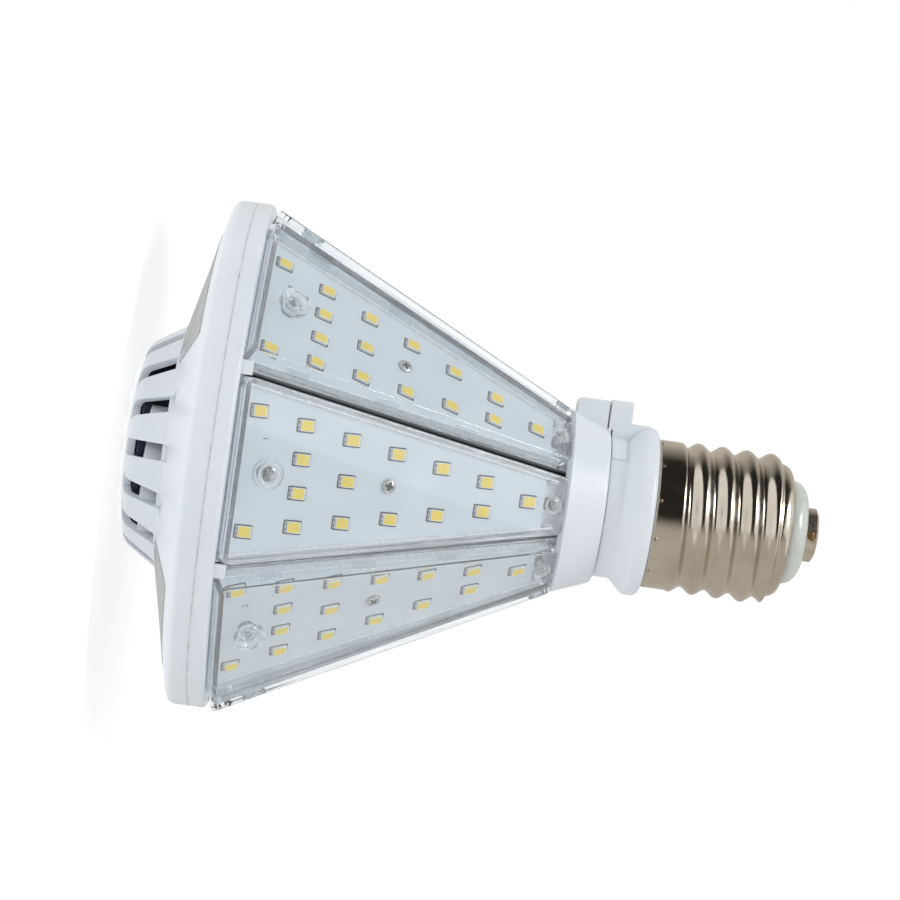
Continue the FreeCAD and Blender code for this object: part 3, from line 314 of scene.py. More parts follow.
whites = {
    "colour": shade(227, 232, 237), "other": shade(222, 228, 234), "patch": 22, "roughness": (0.30, 0.40),
    "grain": 1.1, "height": 0.004, "IOR": 1.5,
    "Subsurface_Weight": 0.3, "Subsurface_Scale": 0.0015, "Subsurface_Radius": (1, 1, 1),
}
ringSeam = {"height": 24.5, "width": 0.16}
whitePlastic = finish("whitePlastic", **whites)[0]
rimPlastic = partingSeam(*finish("rimPlastic", **whites), **ringSeam)
# a flat grey for the thin sheets laid over two sides of the skirt, where it shows grey
skirtGrey = toned("skirtGrey", (176, 178, 176), (168, 170, 169), 9, (0.42, 0.55), 0.5, 0.006)
filterFoam = toned("filterFoam", (52, 58, 82), (26, 29, 44), 0.8, (0.85, 1.0), 0.45, 0.12)
blackPlastic = toned("blackPlastic", (30, 31, 33), (38, 39, 41), 6, (0.38, 0.5), 0.3, 0.008)
steel = toned("platedSteel", (196, 194, 190), (172, 170, 166), 1.2, (0.18, 0.32), 0.2, 0.004, metallic=1.0)
nickel = toned("nickel", (214, 205, 192), (198, 188, 173), 9, (0.13, 0.22), 0.42, 0.014, metallic=1.0)
contactMetal = toned("contactMetal", (222, 214, 203), (190, 180, 164), 2.5, (0.26, 0.42), 0.5, 0.03, metallic=1.0)
# painted shade: a dark metal in the cross recess of the board screws, where shade falls
recess = toned("screwRecessShade", (74, 68, 62), (50, 46, 42), 0.5, (0.35, 0.5), 0.2, 0.01, metallic=0.7)
solder = toned("solder", (150, 112, 66), (96, 66, 36), 0.7, (0.25, 0.5), 0.4, 0.03, metallic=0.35)
opal = toned("opalInsulator", (208, 212, 205), (197, 202, 194), 7, (0.16, 0.24), 0.9, 0.004, IOR=1.5,
             Subsurface_Weight=0.5, Subsurface_Scale=0.002, Subsurface_Radius=(1, 1, 1), Coat_Weight=0.4)
maskWhite = toned("boardMask", (221, 228, 233), (215, 223, 229), 14, (0.30, 0.42), 0.7, 0.004, IOR=1.5, Coat_Weight=0.15)
# the dark ink of the board's print, also used as painted shade in the pits of the shell's punch marks
inkAndPitShade = toned("boardInkAndPitShade", (14, 15, 18), (34, 36, 40), 0.6, (0.5, 0.65), 0.2, 0.003)
tin = toned("tinnedPad", (204, 207, 210), (178, 182, 186), 0.5, (0.3, 0.45), 0.25, 0.01, metallic=0.25)
chipWhite = toned("chipBody", (240, 241, 240), (228, 229, 228), 1.5, (0.3, 0.4), 0.2, 0.003)
phosphor = toned("phosphor", (250, 224, 74), (246, 213, 54), 0.9, (0.25, 0.4), 0.25, 0.008,
                 Subsurface_Weight=0.2, Subsurface_Scale=0.0005)
clearPlastic = throughLight(*finish(
    "clearCover", shade(246, 249, 251), shade(240, 244, 247), 20, (0.012, 0.03), 6, 0.004,
    IOR=1.24, Transmission_Weight=0.94, Coat_Weight=1.0, Coat_Roughness=0.02), (0.95, 0.96, 0.97, 1))
# painted highlight: near-white strips that stand in for the bright lines of the clear cover walls
highlightStrip = toned("highlightStrip", (251, 252, 253), (240, 243, 246), 3.5, (0.2, 0.34), 0.6, 0.01,
                    IOR=1.4, Transmission_Weight=0.1)
clearScrew = throughLight(*finish(
    "clearScrew", shade(250, 252, 252), shade(243, 246, 248), 4, (0.04, 0.10), 0.8, 0.006,
    IOR=1.4, Transmission_Weight=0.82, Coat_Weight=1.0, Coat_Roughness=0.04), (0.9, 0.91, 0.92, 1))
greenBoard = toned("driverBoard", (38, 96, 58), (30, 80, 48), 3, (0.3, 0.42), 0.5, 0.01)
sleeve = toned("capacitorSleeve", (34, 36, 42), (44, 46, 54), 4, (0.25, 0.35), 0.8, 0.01)
tape = toned("windingTape", (222, 186, 60), (206, 168, 44), 5, (0.3, 0.45), 0.6, 0.02)
core = toned("chokeCore", (62, 104, 80), (48, 84, 64), 2, (0.5, 0.65), 0.4, 0.03)
redLead = toned("redLead", (176, 38, 34), (160, 30, 28), 3, (0.4, 0.5), 0.5, 0.01)
whiteLead = toned("whiteLead", (226, 226, 222), (214, 214, 210), 3, (0.4, 0.5), 0.5, 0.01)
blackLead = toned("blackLead", (32, 32, 33), (42, 42, 43), 3, (0.4, 0.5), 0.5, 0.01)


# painted shade for the heat plates' folded sides, between these depths below the board's front
plateSideShade = {"levels": (-4.0, -2.6), "colour": shade(92, 94, 97)}


def platedFinish(number):
    # mill lines run along each heat plate, so every plate has the pattern turned to its own length
    own = panelMatrix(number).inverted()
    turn = own.to_euler("XYZ")
    material, tree, shader = finish(
        "millAluminium_%d" % (number + 1), shade(228, 230, 232), shade(210, 213, 216), 1.2, (0.46, 0.62), 0.3, 0.02,
        metallic=0.45, turn=turn, stretch=(0.04, 1, 1))
    # painted shade: the folded sides are darkened, as they lie in shadow between the covers
    vector = put(tree, "ShaderNodeTexCoord").outputs["Object"]
    vector = put(tree, "ShaderNodeMapping", {"Vector": vector, "Rotation": turn, "Location": own.to_translation()})
    height = put(tree, "ShaderNodeSeparateXYZ", {"Vector": vector.outputs[0]}).outputs["Z"]
    gapShade = between(tree, height, 1, 0, *(level * mm for level in plateSideShade["levels"]))
    return recoloured(material, tree, shader, gapShade, plateSideShade["colour"])


cadFinishes = {
    "skirt_films": skirtGrey,
    "dust_filter": filterFoam,
    "fan_frame": blackPlastic,
    "fan_rotor": blackPlastic,
    "fan_screws": steel,
    "driver_board": greenBoard,
    "capacitor": sleeve,
    "transformer": tape,
    "choke": core,
    "contact_lead": redLead,
    "shell_lead": whiteLead,
    "fan_lead": blackLead,
}
for number in range(panelTotal):
    cadFinishes["heat_plate_%d" % (number + 1)] = platedFinish(number)
    cadFinishes["led_board_%d" % (number + 1)] = maskWhite
for node, material in cadFinishes.items():
    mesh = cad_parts[node].data
    mesh.materials.clear()
    mesh.materials.append(material)
print("finishes on the carried-over solids")


def ridden(piece, body, slot, *nodes):
    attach(piece, body)
    if nodes:
        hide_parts(*nodes)
    return piece


# Solids whose shape is right get joined faces and smooth shading
smoothPieces = {
    "rearHousing": ("rear_housing", rimPlastic, "white_plastic", 32),
    "frontRing": ("front_ring", rimPlastic, "white_plastic", 32),
    "collarShell": ("collar", whitePlastic, "white_plastic", 32),
    "neckShell": ("neck", whitePlastic, "white_plastic", 32),
    "contactButton": ("centre_contact", contactMetal, "nickel", 32),
}


def smoothed(name, node, material, slot, angle):
    shape = bmesh.new()
    shape.from_mesh(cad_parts[node].data)
    bmesh.ops.remove_doubles(shape, verts=shape.verts, dist=2e-6)
    bmesh.ops.dissolve_limit(shape, angle_limit=math.radians(0.05), verts=shape.verts, edges=shape.edges)
    rough = bpy.data.meshes.new(name)
    shape.to_mesh(rough)
    mesh = bpy.data.meshes.new(name)
    mesh.from_pydata([v.co[:] for v in rough.vertices], [], [p.vertices[:] for p in rough.polygons])
    mesh.materials.append(material)
    mesh.shade_smooth()
    mesh.set_sharp_from_angle(angle=math.radians(angle))
    piece = linked(name, mesh)
    weighted = piece.modifiers.new("weighted", "WEIGHTED_NORMAL")
    weighted.keep_sharp = True
    return ridden(piece, "lamp", slot, node)


for name, (node, material, slot, angle) in smoothPieces.items():
    smoothed(name, node, material, slot, angle)
for number in range(panelTotal):
    smoothed("clearCover_%d" % (number + 1), "cover_%d" % (number + 1), clearPlastic, "clear_plastic", 32)
print("mouldings smoothed")


# What repeats is made by one tree: a shape on every place, each turned as its place says
def repeatTree(name, materials):
    tree = bpy.data.node_groups.new(name, "GeometryNodeTree")
    for label, kind in (("Geometry", "Geometry"), ("Shape", "Object"), ("Spin", "Float"), ("Seed", "Int")):
        tree.interface.new_socket(label, in_out="INPUT", socket_type="NodeSocket" + kind)
    tree.interface.new_socket("Geometry", in_out="OUTPUT", socket_type="NodeSocketGeometry")
    given = put(tree, "NodeGroupInput").outputs
    shape = put(tree, "GeometryNodeObjectInfo", {"Object": given["Shape"]})
    turn = put(tree, "GeometryNodeInputNamedAttribute", {"Name": "turn"}, data_type="FLOAT_VECTOR")
    facing = put(tree, "FunctionNodeEulerToRotation", {"Euler": turn.outputs["Attribute"]})
    least = put(tree, "ShaderNodeMath", {0: given["Spin"], 1: -1.0}, operation="MULTIPLY")
    spin = put(tree, "FunctionNodeRandomValue", data_type="FLOAT")
    for index, value in ((2, least.outputs[0]), (3, given["Spin"]), (8, given["Seed"])):
        tree.links.new(value, spin.inputs[index])
    own = put(tree, "ShaderNodeCombineXYZ", {"Z": spin.outputs[1]})
    own = put(tree, "FunctionNodeEulerToRotation", {"Euler": own.outputs[0]})
    facing = put(tree, "FunctionNodeRotateRotation", {"Rotation": facing.outputs[0], "Rotate By": own.outputs[0]},
                 rotation_space="LOCAL")
    placed = put(tree, "GeometryNodeInstanceOnPoints", {
        "Points": given["Geometry"], "Instance": shape.outputs["Geometry"], "Rotation": facing.outputs[0]})
    made = put(tree, "GeometryNodeRealizeInstances", {"Geometry": placed.outputs[0]}).outputs[0]
    for index, material in enumerate(materials):
        part = put(tree, "GeometryNodeInputNamedAttribute", {"Name": "part"}, data_type="INT")
        same = put(tree, "FunctionNodeCompare", {2: part.outputs["Attribute"], 3: index},
                   data_type="INT", operation="EQUAL")
        chosen = {"Geometry": made, "Selection": same.outputs[0], "Material": material}
        made = put(tree, "GeometryNodeSetMaterial", chosen).outputs[0]
    put(tree, "NodeGroupOutput", {0: made})
    return tree


def plainMesh(name, source):
    graph = bpy.context.evaluated_depsgraph_get()
    mesh = bpy.data.meshes.new_from_object(source.evaluated_get(graph))
    mesh.name = name
    bpy.data.objects.remove(source)
    return mesh


def repeated(name, shape, places, materials, spin=0.0, seed=1):
    mesh = bpy.data.meshes.new(name + "Places")
    mesh.from_pydata([place.to_translation() for place in places], [], [])
    turns = mesh.attributes.new("turn", "FLOAT_VECTOR", "POINT")
    for item, place in zip(turns.data, places):
        item.vector = place.to_euler("XYZ")
    source = linked(name + "Source", mesh)
    tree = repeatTree(name + "Repeat", materials)
    modifier = source.modifiers.new("repeat", "NODES")
    modifier.node_group = tree
    keys = {item.name: item.identifier for item in tree.interface.items_tree if item.in_out == "INPUT"}
    modifier[keys["Shape"]] = shape
    modifier[keys["Spin"]] = math.radians(spin)
    modifier[keys["Seed"]] = seed
    made = plainMesh(name, source)
    bpy.data.objects.remove(shape)
    return made


class Shape:
    # collects closed lofts in mm, each face with the number of its part
    def __init__(self):
        self.points, self.faces, self.parts = [], [], []

    def loft(self, loops, part=0, caps=(True, True)):
        start, count = len(self.points), len(loops[0])
        for loop in loops:
            self.points += [tuple(v * mm for v in point) for point in loop]
        for row in range(len(loops) - 1):
            for step in range(count):
                after = (step + 1) % count
                low, high = start + row * count, start + (row + 1) * count
                self.faces.append((low + step, low + after, high + after, high + step))
                self.parts.append(part)
        if caps[0]:
            self.faces.append(tuple(reversed(range(start, start + count))))
            self.parts.append(part)
        if caps[1]:
            top = start + (len(loops) - 1) * count
            self.faces.append(tuple(range(top, top + count)))
            self.parts.append(part)

    def ring(self, outer, inner, low, high, part=0):
        # a closed flat frame between two outlines
        def level(outline, height):
            return [(x, y, height) for x, y in outline]
        loops = [level(outer, low), level(outer, high), level(inner, high), level(inner, low), level(outer, low)]
        self.loft(loops, part, caps=(False, False))

    def made(self, name, smooth=None):
        mesh = bpy.data.meshes.new(name)
        mesh.from_pydata(self.points, [], self.faces)
        part = mesh.attributes.new("part", "INT", "FACE")
        part.data.foreach_set("value", self.parts)
        shape = bmesh.new()
        shape.from_mesh(mesh)
        bmesh.ops.remove_doubles(shape, verts=shape.verts, dist=1e-7)
        bmesh.ops.recalc_face_normals(shape, faces=shape.faces)
        shape.to_mesh(mesh)
        if smooth is not None:
            mesh.shade_smooth()
            mesh.set_sharp_from_angle(angle=math.radians(smooth))
        piece = linked(name, mesh)
        piece.hide_render = True
        return piece


def roundedBox(low, high, radius, steps=3):
    # outline of a box with rounded corners, anticlockwise
    corners = ((high[0] - radius, high[1] - radius, 0), (low[0] + radius, high[1] - radius, 90),
               (low[0] + radius, low[1] + radius, 180), (high[0] - radius, low[1] + radius, 270))
    outline = []
    for x, y, start in corners:
        for step in range(steps + 1):
            turn = math.radians(start + 90 * step / steps)
            outline.append((x + radius * math.cos(turn), y + radius * math.sin(turn)))
    return outline


# Light sources: white body, yellow window nearer to the neck's end
chip = {
    "length": 3.5, "width": 2.8, "height": 0.8, "corner": 0.18, "chamfer": 0.08,
    "windowLength": 3.0, "windowShift": -0.12, "windowWidth": 2.44, "windowDepth": 0.07, "windowLip": 0.06,
    "domes": ((0, 1), (0.25, 0.75), (0.6, 0.6)),
}
chipColumns = {
    0: (14.59, -14.59), 1: (12.37, 4.12, -4.12, -12.37), 2: (10.18, 0, -10.18),
    3: (8.04, -8.04), 4: (5.86, -5.86), 5: (3.67, -3.67), 6: (0,),
}
chipPitch = 12.5


def chipShape():
    x, y, high = chip["length"] / 2, chip["width"] / 2, chip["height"]
    long, half, deep = chip["windowLength"] / 2, chip["windowWidth"] / 2, chip["windowDepth"]

    def level(inset, height):
        outline = roundedBox((-x + inset, -y + inset), (x - inset, y - inset), chip["corner"])
        return [(px, py, height) for px, py in outline]

    def window(inset, height):
        outline = roundedBox((-long + inset, -half + inset), (long - inset, half - inset), chip["corner"])
        return [(px + chip["windowShift"], py, height) for px, py in outline]

    shape = Shape()
    body = [level(0, 0), level(0, high - chip["chamfer"]), level(chip["chamfer"], high)]
    body += [window(-chip["windowLip"], high), window(0, high - deep)]
    shape.loft(body, 0, caps=(True, False))
    shape.loft([window(inset, high - deep * share) for inset, share in chip["domes"]], 1, caps=(False, True))
    return shape.made("chipShape", 40)


# Print and pads round each light source
mark = {"from": -2.66, "to": 2.14, "halfWidth": 1.76, "line": 0.38, "corner": 0.42, "low": 0.005, "rise": 0.03}
pad = {"from": -2.34, "to": -1.77, "half": 1.25, "corner": 0.12, "low": 0.004, "rise": 0.09}
slit = {"insets": (0.1, 0.2), "across": (-0.62, 0.62), "half": 0.24, "corner": 0.08, "rise": 0.1}


def markShape():
    low, high, line = (mark["from"], -mark["halfWidth"]), (mark["to"], mark["halfWidth"]), mark["line"]
    shape = Shape()
    outer = roundedBox(low, high, mark["corner"])
    inner = roundedBox((low[0] + line, low[1] + line), (high[0] - line, high[1] - line), mark["corner"] - line * 0.6)
    shape.ring(outer, inner, mark["low"], mark["rise"], 0)

    def plate(low, high, corner, heights, part):
        outline = roundedBox(low, high, corner)
        shape.loft([[(x, y, height) for x, y in outline] for height in heights], part)

    plate((pad["from"], -pad["half"]), (pad["to"], pad["half"]), pad["corner"], (pad["low"], pad["rise"]), 1)
    near, far = pad["from"] + slit["insets"][0], pad["to"] - slit["insets"][1]
    for side in slit["across"]:
        plate((near, side - slit["half"]), (far, side + slit["half"]), slit["corner"], (pad["rise"], slit["rise"]), 0)
    return shape.made("markShape", 40)


chipPlaces = [Matrix.Translation(Vector((column * chipPitch, across, 0)) * mm)
              for column, row in chipColumns.items() for across in row]
chipMesh = repeated("ledChips", chipShape(), chipPlaces, [chipWhite, phosphor])
markMesh = repeated("boardMarks", markShape(), chipPlaces, [inkAndPitShade, tin])


def onPanel(name, mesh, number):
    own = mesh.copy()
    own.transform(panelMatrix(number))
    return linked(name, own)


for number in range(panelTotal):
    ridden(onPanel("ledChips_%d" % (number + 1), chipMesh, number), "lamp", "light_source", "leds_%d" % (number + 1))
    ridden(onPanel("boardMarks_%d" % (number + 1), markMesh, number), "lamp", "white_board")
print("light sources on the boards")


# Plain numbers printed at the wide end of each board
numbers = {"size": 2.1, "rise": 0.02, "along": 3.1, "across": 7.6}


def printedNumber(number):
    curve = bpy.data.curves.new("number", "FONT")
    curve.body = str(number + 1)
    curve.size = numbers["size"] * mm
    curve.extrude = numbers["rise"] / 2 * mm
    curve.resolution_u = 3
    source = linked("number", curve)
    mesh = plainMesh("boardNumber", source)
    turn = Matrix.Rotation(math.radians(90), 4, "Z")
    place = Matrix.Translation(Vector((numbers["along"], numbers["across"], numbers["rise"])) * mm)
    mesh.transform(place @ turn)
    mesh.materials.clear()
    mesh.materials.append(inkAndPitShade)
    return mesh


for number in range(panelTotal):
    ridden(onPanel("boardNumber_%d" % (number + 1), printedNumber(number), number), "lamp", "white_board")


# Screws: turned bodies with a cross recess in the head
def turnedLoops(profile, steps, wave=None):
    # profile is (radius, height) from the axis at the top to the axis at the foot
    loops = []
    for radius, height in profile:
        loop = []
        for step in range(steps):
            angle = 2 * math.pi * step / steps
            reach = radius + (wave(height, angle) if wave else 0)
            loop.append((reach * math.cos(angle), reach * math.sin(angle), height))
        loops.append(loop)
    return loops


def sunk(loops, arm, half, depth):
    # lowers a cross into the top of a head
    made = []
    for loop in loops:
        row = []
        for x, y, z in loop:
            reach, off = math.hypot(x, y), min(abs(x), abs(y))
            inside = max(0.0, 1 - (off / half) ** 4) if reach < arm * 1.15 and off < half else 0.0
            slope = max(0.0, 1 - (reach / (arm * 1.15)) ** 2)
            row.append((x, y, z - depth * inside * slope))
        made.append(row)
    return made


boardScrew = {
    "along": 36.0, "headRadius": 1.72, "headHeight": 0.95, "rim": 0.03, "shank": 1.0, "tip": -3.4, "taper": 0.5,
    "arm": 1.12, "armHalf": 0.34, "recess": 0.75, "around": 48,
}


def boardScrewShape():
    radius, high = boardScrew["headRadius"], boardScrew["headHeight"]
    shank, tip, arm, armHalf = (boardScrew[key] for key in ("shank", "tip", "arm", "armHalf"))
    shares = [0.02] + [step / 10 for step in range(1, 10)] + [0.97]
    dome = [(radius * share, high * (1 - 0.42 * share ** 3)) for share in shares]
    body = [(radius, high * 0.45), (radius, boardScrew["rim"]), (shank, boardScrew["rim"])]
    body += [(shank, tip + boardScrew["taper"]), (shank * 0.3, tip)]
    shape = Shape()
    top = sunk(turnedLoops(dome, boardScrew["around"]), arm, armHalf, boardScrew["recess"])
    shape.loft(top + turnedLoops(body, boardScrew["around"]), 0)
    for index, face in enumerate(shape.faces):
        x, y, z = (sum(shape.points[point][axis] for point in face) / len(face) / mm for axis in range(3))
        if z > high * 0.2 and math.hypot(x, y) < arm and min(abs(x), abs(y)) < armHalf * 0.8:
            shape.parts[index] = 1
    return shape.made("boardScrewShape", 35)


coverScrews = {
    "wide": {"along": 2.9, "head": 3.25, "shank": 1.72, "rise": 5.0, "tip": -3.4},
    "narrow": {"along": 81.0, "head": 2.35, "shank": 1.38, "rise": 2.85, "tip": -3.4},
}
screwThread = {"pitch": 0.8, "depth": 0.22, "below": 1.6, "fadeIn": 0.5, "fadeOut": 0.6, "step": 0.2, "around": 32}


def coverScrewShape(name, screw):
    head, shank, rise, tip = (screw[key] for key in ("head", "shank", "rise", "tip"))
    sink = head - shank

    def ridge(height, angle):
        if height >= rise - sink:
            return 0.0
        turn = (height / screwThread["pitch"] - angle / (2 * math.pi)) % 1.0
        fade = min(1.0, max(0.0, (rise - screwThread["below"] - height) / screwThread["fadeIn"]))
        fade *= min(1.0, max(0.0, (height - tip) / screwThread["fadeOut"]))
        return -screwThread["depth"] * abs(2 * turn - 1) * fade

    # a thin funnel round a flat boss with a dimple, then the countersunk back
    boss = shank * 1.12
    steps = ((0.04, 0.55), (0.22, 0.55), (0.36, 0.3), (boss - 0.2, 0.3), (boss, 0.38), (boss + 0.1, 0.62),
             (head - 0.5, 0.04), (head - 0.12, 0))
    profile = [(radius, rise - sink * share) for radius, share in steps]
    profile += [(head, rise - 0.12), (shank, rise - sink)]
    height = rise - sink - 0.1
    while height > tip:
        profile.append((shank, height))
        height -= screwThread["step"]
    profile.append((shank * 0.4, tip))
    shape = Shape()
    shape.loft(turnedLoops(profile, screwThread["around"], ridge), 0)
    return shape.made(name, 40)


def upTo(along):
    return [panelMatrix(number) @ Matrix.Translation(Vector((along, 0, 0)) * mm) for number in range(panelTotal)]


def joined(name, meshes):
    shape = bmesh.new()
    for mesh in meshes:
        shape.from_mesh(mesh)
    made = bpy.data.meshes.new(name)
    shape.to_mesh(made)
    for material in meshes[0].materials:
        made.materials.append(material)
    return made


# the faces inside each cross get the painted shade
screwMesh = repeated("boardScrews", boardScrewShape(), upTo(boardScrew["along"]), [steel, recess], spin=180, seed=4)
ridden(linked("boardScrews", screwMesh), "lamp", "steel", "board_screws")
coverScrewMeshes = []
for name, screw in coverScrews.items():
    places = upTo(screw["along"])
    made = repeated(name + "CoverScrews", coverScrewShape(name, screw), places, [clearScrew], spin=180, seed=7)
    coverScrewMeshes.append(made)
ridden(linked("coverScrews", joined("coverScrews", coverScrewMeshes)), "lamp", "clear_screw", "cover_screws")
print("screws in place")


# Snap tabs inside the side walls of each cover
cover = {
    "start": -6.3, "end": 84.3, "wall": 1.45, "rise": 5.85, "endRise": 3.1, "sideTaper": 9.77,
    "tabThick": 0.35, "tabGap": 0.04, "tabLow": 0.1, "tabShare": 0.62,
}
tabs = ((4.6, 10.7), (29.2, 35.4), (51.8, 57.9), (73.7, 79.8))


def innerFace(along):
    rise = cover["rise"] + (along - cover["start"]) * (cover["endRise"] - cover["rise"]) / (cover["end"] - cover["start"])
    return rise - cover["wall"]


def innerSide(along):
    return sideLine(along, panelFrame["boardThick"]) - cover["wall"] / math.cos(math.radians(cover["sideTaper"]))


def tabShape():
    shape = Shape()
    low = cover["tabLow"]
    for side in (1, -1):
        for ends in tabs:
            loops = []
            for along in ends:
                out = innerSide(along) - cover["tabGap"]
                inner, outer, top = side * (out - cover["tabThick"]), side * out, innerFace(along) * cover["tabShare"]
                loops.append([(along, inner, low), (along, outer, low), (along, outer, top), (along, inner, top)])
            shape.loft(loops, 0)
    return shape.made("tabShape")


# Near-white strips along the foot of the side walls, broken at the tabs, and across the wide end: painted highlights
# for the bright lines of the clear walls
edges = {
    "low": -1.5, "inset": 0.4, "break": 0.3, "endShort": 1.2,
    "wall": {"inset": 0.04, "width": 0.42, "top": 0.5}, "line": {"inset": 0.72, "width": 0.22, "top": 0.25},
    "endWall": {"inset": 0.05, "width": 0.42, "top": 0.5}, "endLine": {"inset": 0.85, "width": 0.22, "top": 0.25},
}


def edgeShape():
    shape = Shape()
    low = edges["low"]

    def strip(side, ends, inset, width, top):
        loops = []
        for along in ends:
            out = innerSide(along) - inset
            inner, outer = side * (out - width), side * out
            loops.append([(along, inner, low), (along, outer, low), (along, outer, top), (along, inner, top)])
        shape.loft(loops, 0)

    first, last = cover["start"] + cover["wall"] + edges["inset"], cover["end"] - cover["wall"] - edges["inset"]
    stops = [first] + [v for tab in tabs for v in (tab[0] - edges["break"], tab[1] + edges["break"])] + [last]
    for side in (1, -1):
        strip(side, (first, last), **edges["wall"])
        for ends in zip(stops[0::2], stops[1::2]):
            strip(side, ends, **edges["line"])
    for name in ("endWall", "endLine"):
        near, top = cover["start"] + cover["wall"] + edges[name]["inset"], edges[name]["top"]
        half = innerSide(near) - edges["endShort"]
        shape.loft([[(along, half, low), (along, half, top), (along, -half, top), (along, -half, low)]
                    for along in (near, near + edges[name]["width"])], 0)
    return shape.made("edgeShape")


# the painted highlight strips go on every cover
highlightStripMesh = repeated("coverEdges", edgeShape(), [Matrix.Identity(4)], [highlightStrip])
tabMesh = repeated("coverTabs", tabShape(), [Matrix.Identity(4)], [clearPlastic])
for number in range(panelTotal):
    ridden(onPanel("coverTabs_%d" % (number + 1), tabMesh, number), "lamp", "clear_plastic")
    ridden(onPanel("coverEdges_%d" % (number + 1), highlightStripMesh, number), "lamp", "clear_plastic")
print("cover tabs in place")


# Foam filter behind the vents, with a rim turned up inside the vanes
foam = {
    "radius": 23.6, "low": 3.5, "high": 5.5, "rim": 23.0, "rimThick": 2.0, "rimTop": 13.5,
    "corner": 0.5, "step": 0.2, "eye": 0.2, "around": 96,
}


def foamFilter():
    radius, low, high, rim, top, corner = (foam[key] for key in ("radius", "low", "high", "rim", "rimTop", "corner"))
    inner = rim - foam["rimThick"]
    profile = [
        (foam["eye"], high), (inner - corner, high), (inner, high + corner), (inner, top - corner), (inner + corner, top),
        (rim - corner, top), (rim, top - corner), (rim, high + corner), (radius - foam["step"], high),
        (radius, high - corner), (radius, low + corner), (radius - corner, low), (foam["eye"], low),
    ]
    shape = Shape()
    shape.loft(turnedLoops(profile, foam["around"]), 0)
    mesh = plainMesh("foamFilter", shape.made("foamFilterShape", 40))
    mesh.materials.append(filterFoam)
    return ridden(linked("foamFilter", mesh), "lamp", "filter_foam", "dust_filter")


foamFilter()
print("filter in place")


# Glassy insulator that bulges out of the shell's mouth round the contact
dome = {"radius": 13.55, "foot": 168.2, "brow": 171.0, "top": 175.85, "crown": 6.8, "bore": 2.6, "steps": 14, "around": 96}


def insulatorDome():
    profile = [(dome["bore"], dome["top"])]
    for step in range(dome["steps"] + 1):
        turn = math.pi / 2 * (1 - step / dome["steps"])
        reach = dome["crown"] + (dome["radius"] - dome["crown"]) * math.cos(turn) ** 0.8
        profile.append((reach, dome["brow"] + (dome["top"] - dome["brow"]) * math.sin(turn) ** 0.9))
    profile += [(dome["radius"], dome["foot"]), (dome["bore"], dome["foot"])]
    shape = Shape()
    loops = turnedLoops(profile, dome["around"])
    shape.loft(loops + loops[:1], 0, caps=(False, False))
    mesh = plainMesh("insulatorDome", shape.made("insulatorShape", 40))
    mesh.materials.append(opal)
    return ridden(linked("insulatorDome", mesh), "lamp", "insulator_white", "insulator")


insulatorDome()
print("insulator in place")


# Rolled screw shell: a right-handed rounded thread between a plain band and the shoulder
thread = {
    "Start": 135.2, "End": 171.0, "Band": 19.3, "Band End": 141.1, "Crest": 19.65, "Root": 17.9, "Pitch": 6.35,
    "Ridge": 147.55, "Shoulder": 167.3, "Tip": 17.4, "Mouth": 13.9, "Around": 160, "Along": 180,
}
# How the rolled thread runs in and out, and how the mouth and the open end turn in
rolling = {
    "runIn": 2.4, "runOut": (0.8, 0.5), "crestPower": 0.85, "mouthShare": 0.995, "mouthPower": 2.4,
    "curlLength": 0.7, "curlDepth": 0.22, "thick": 0.35,
}


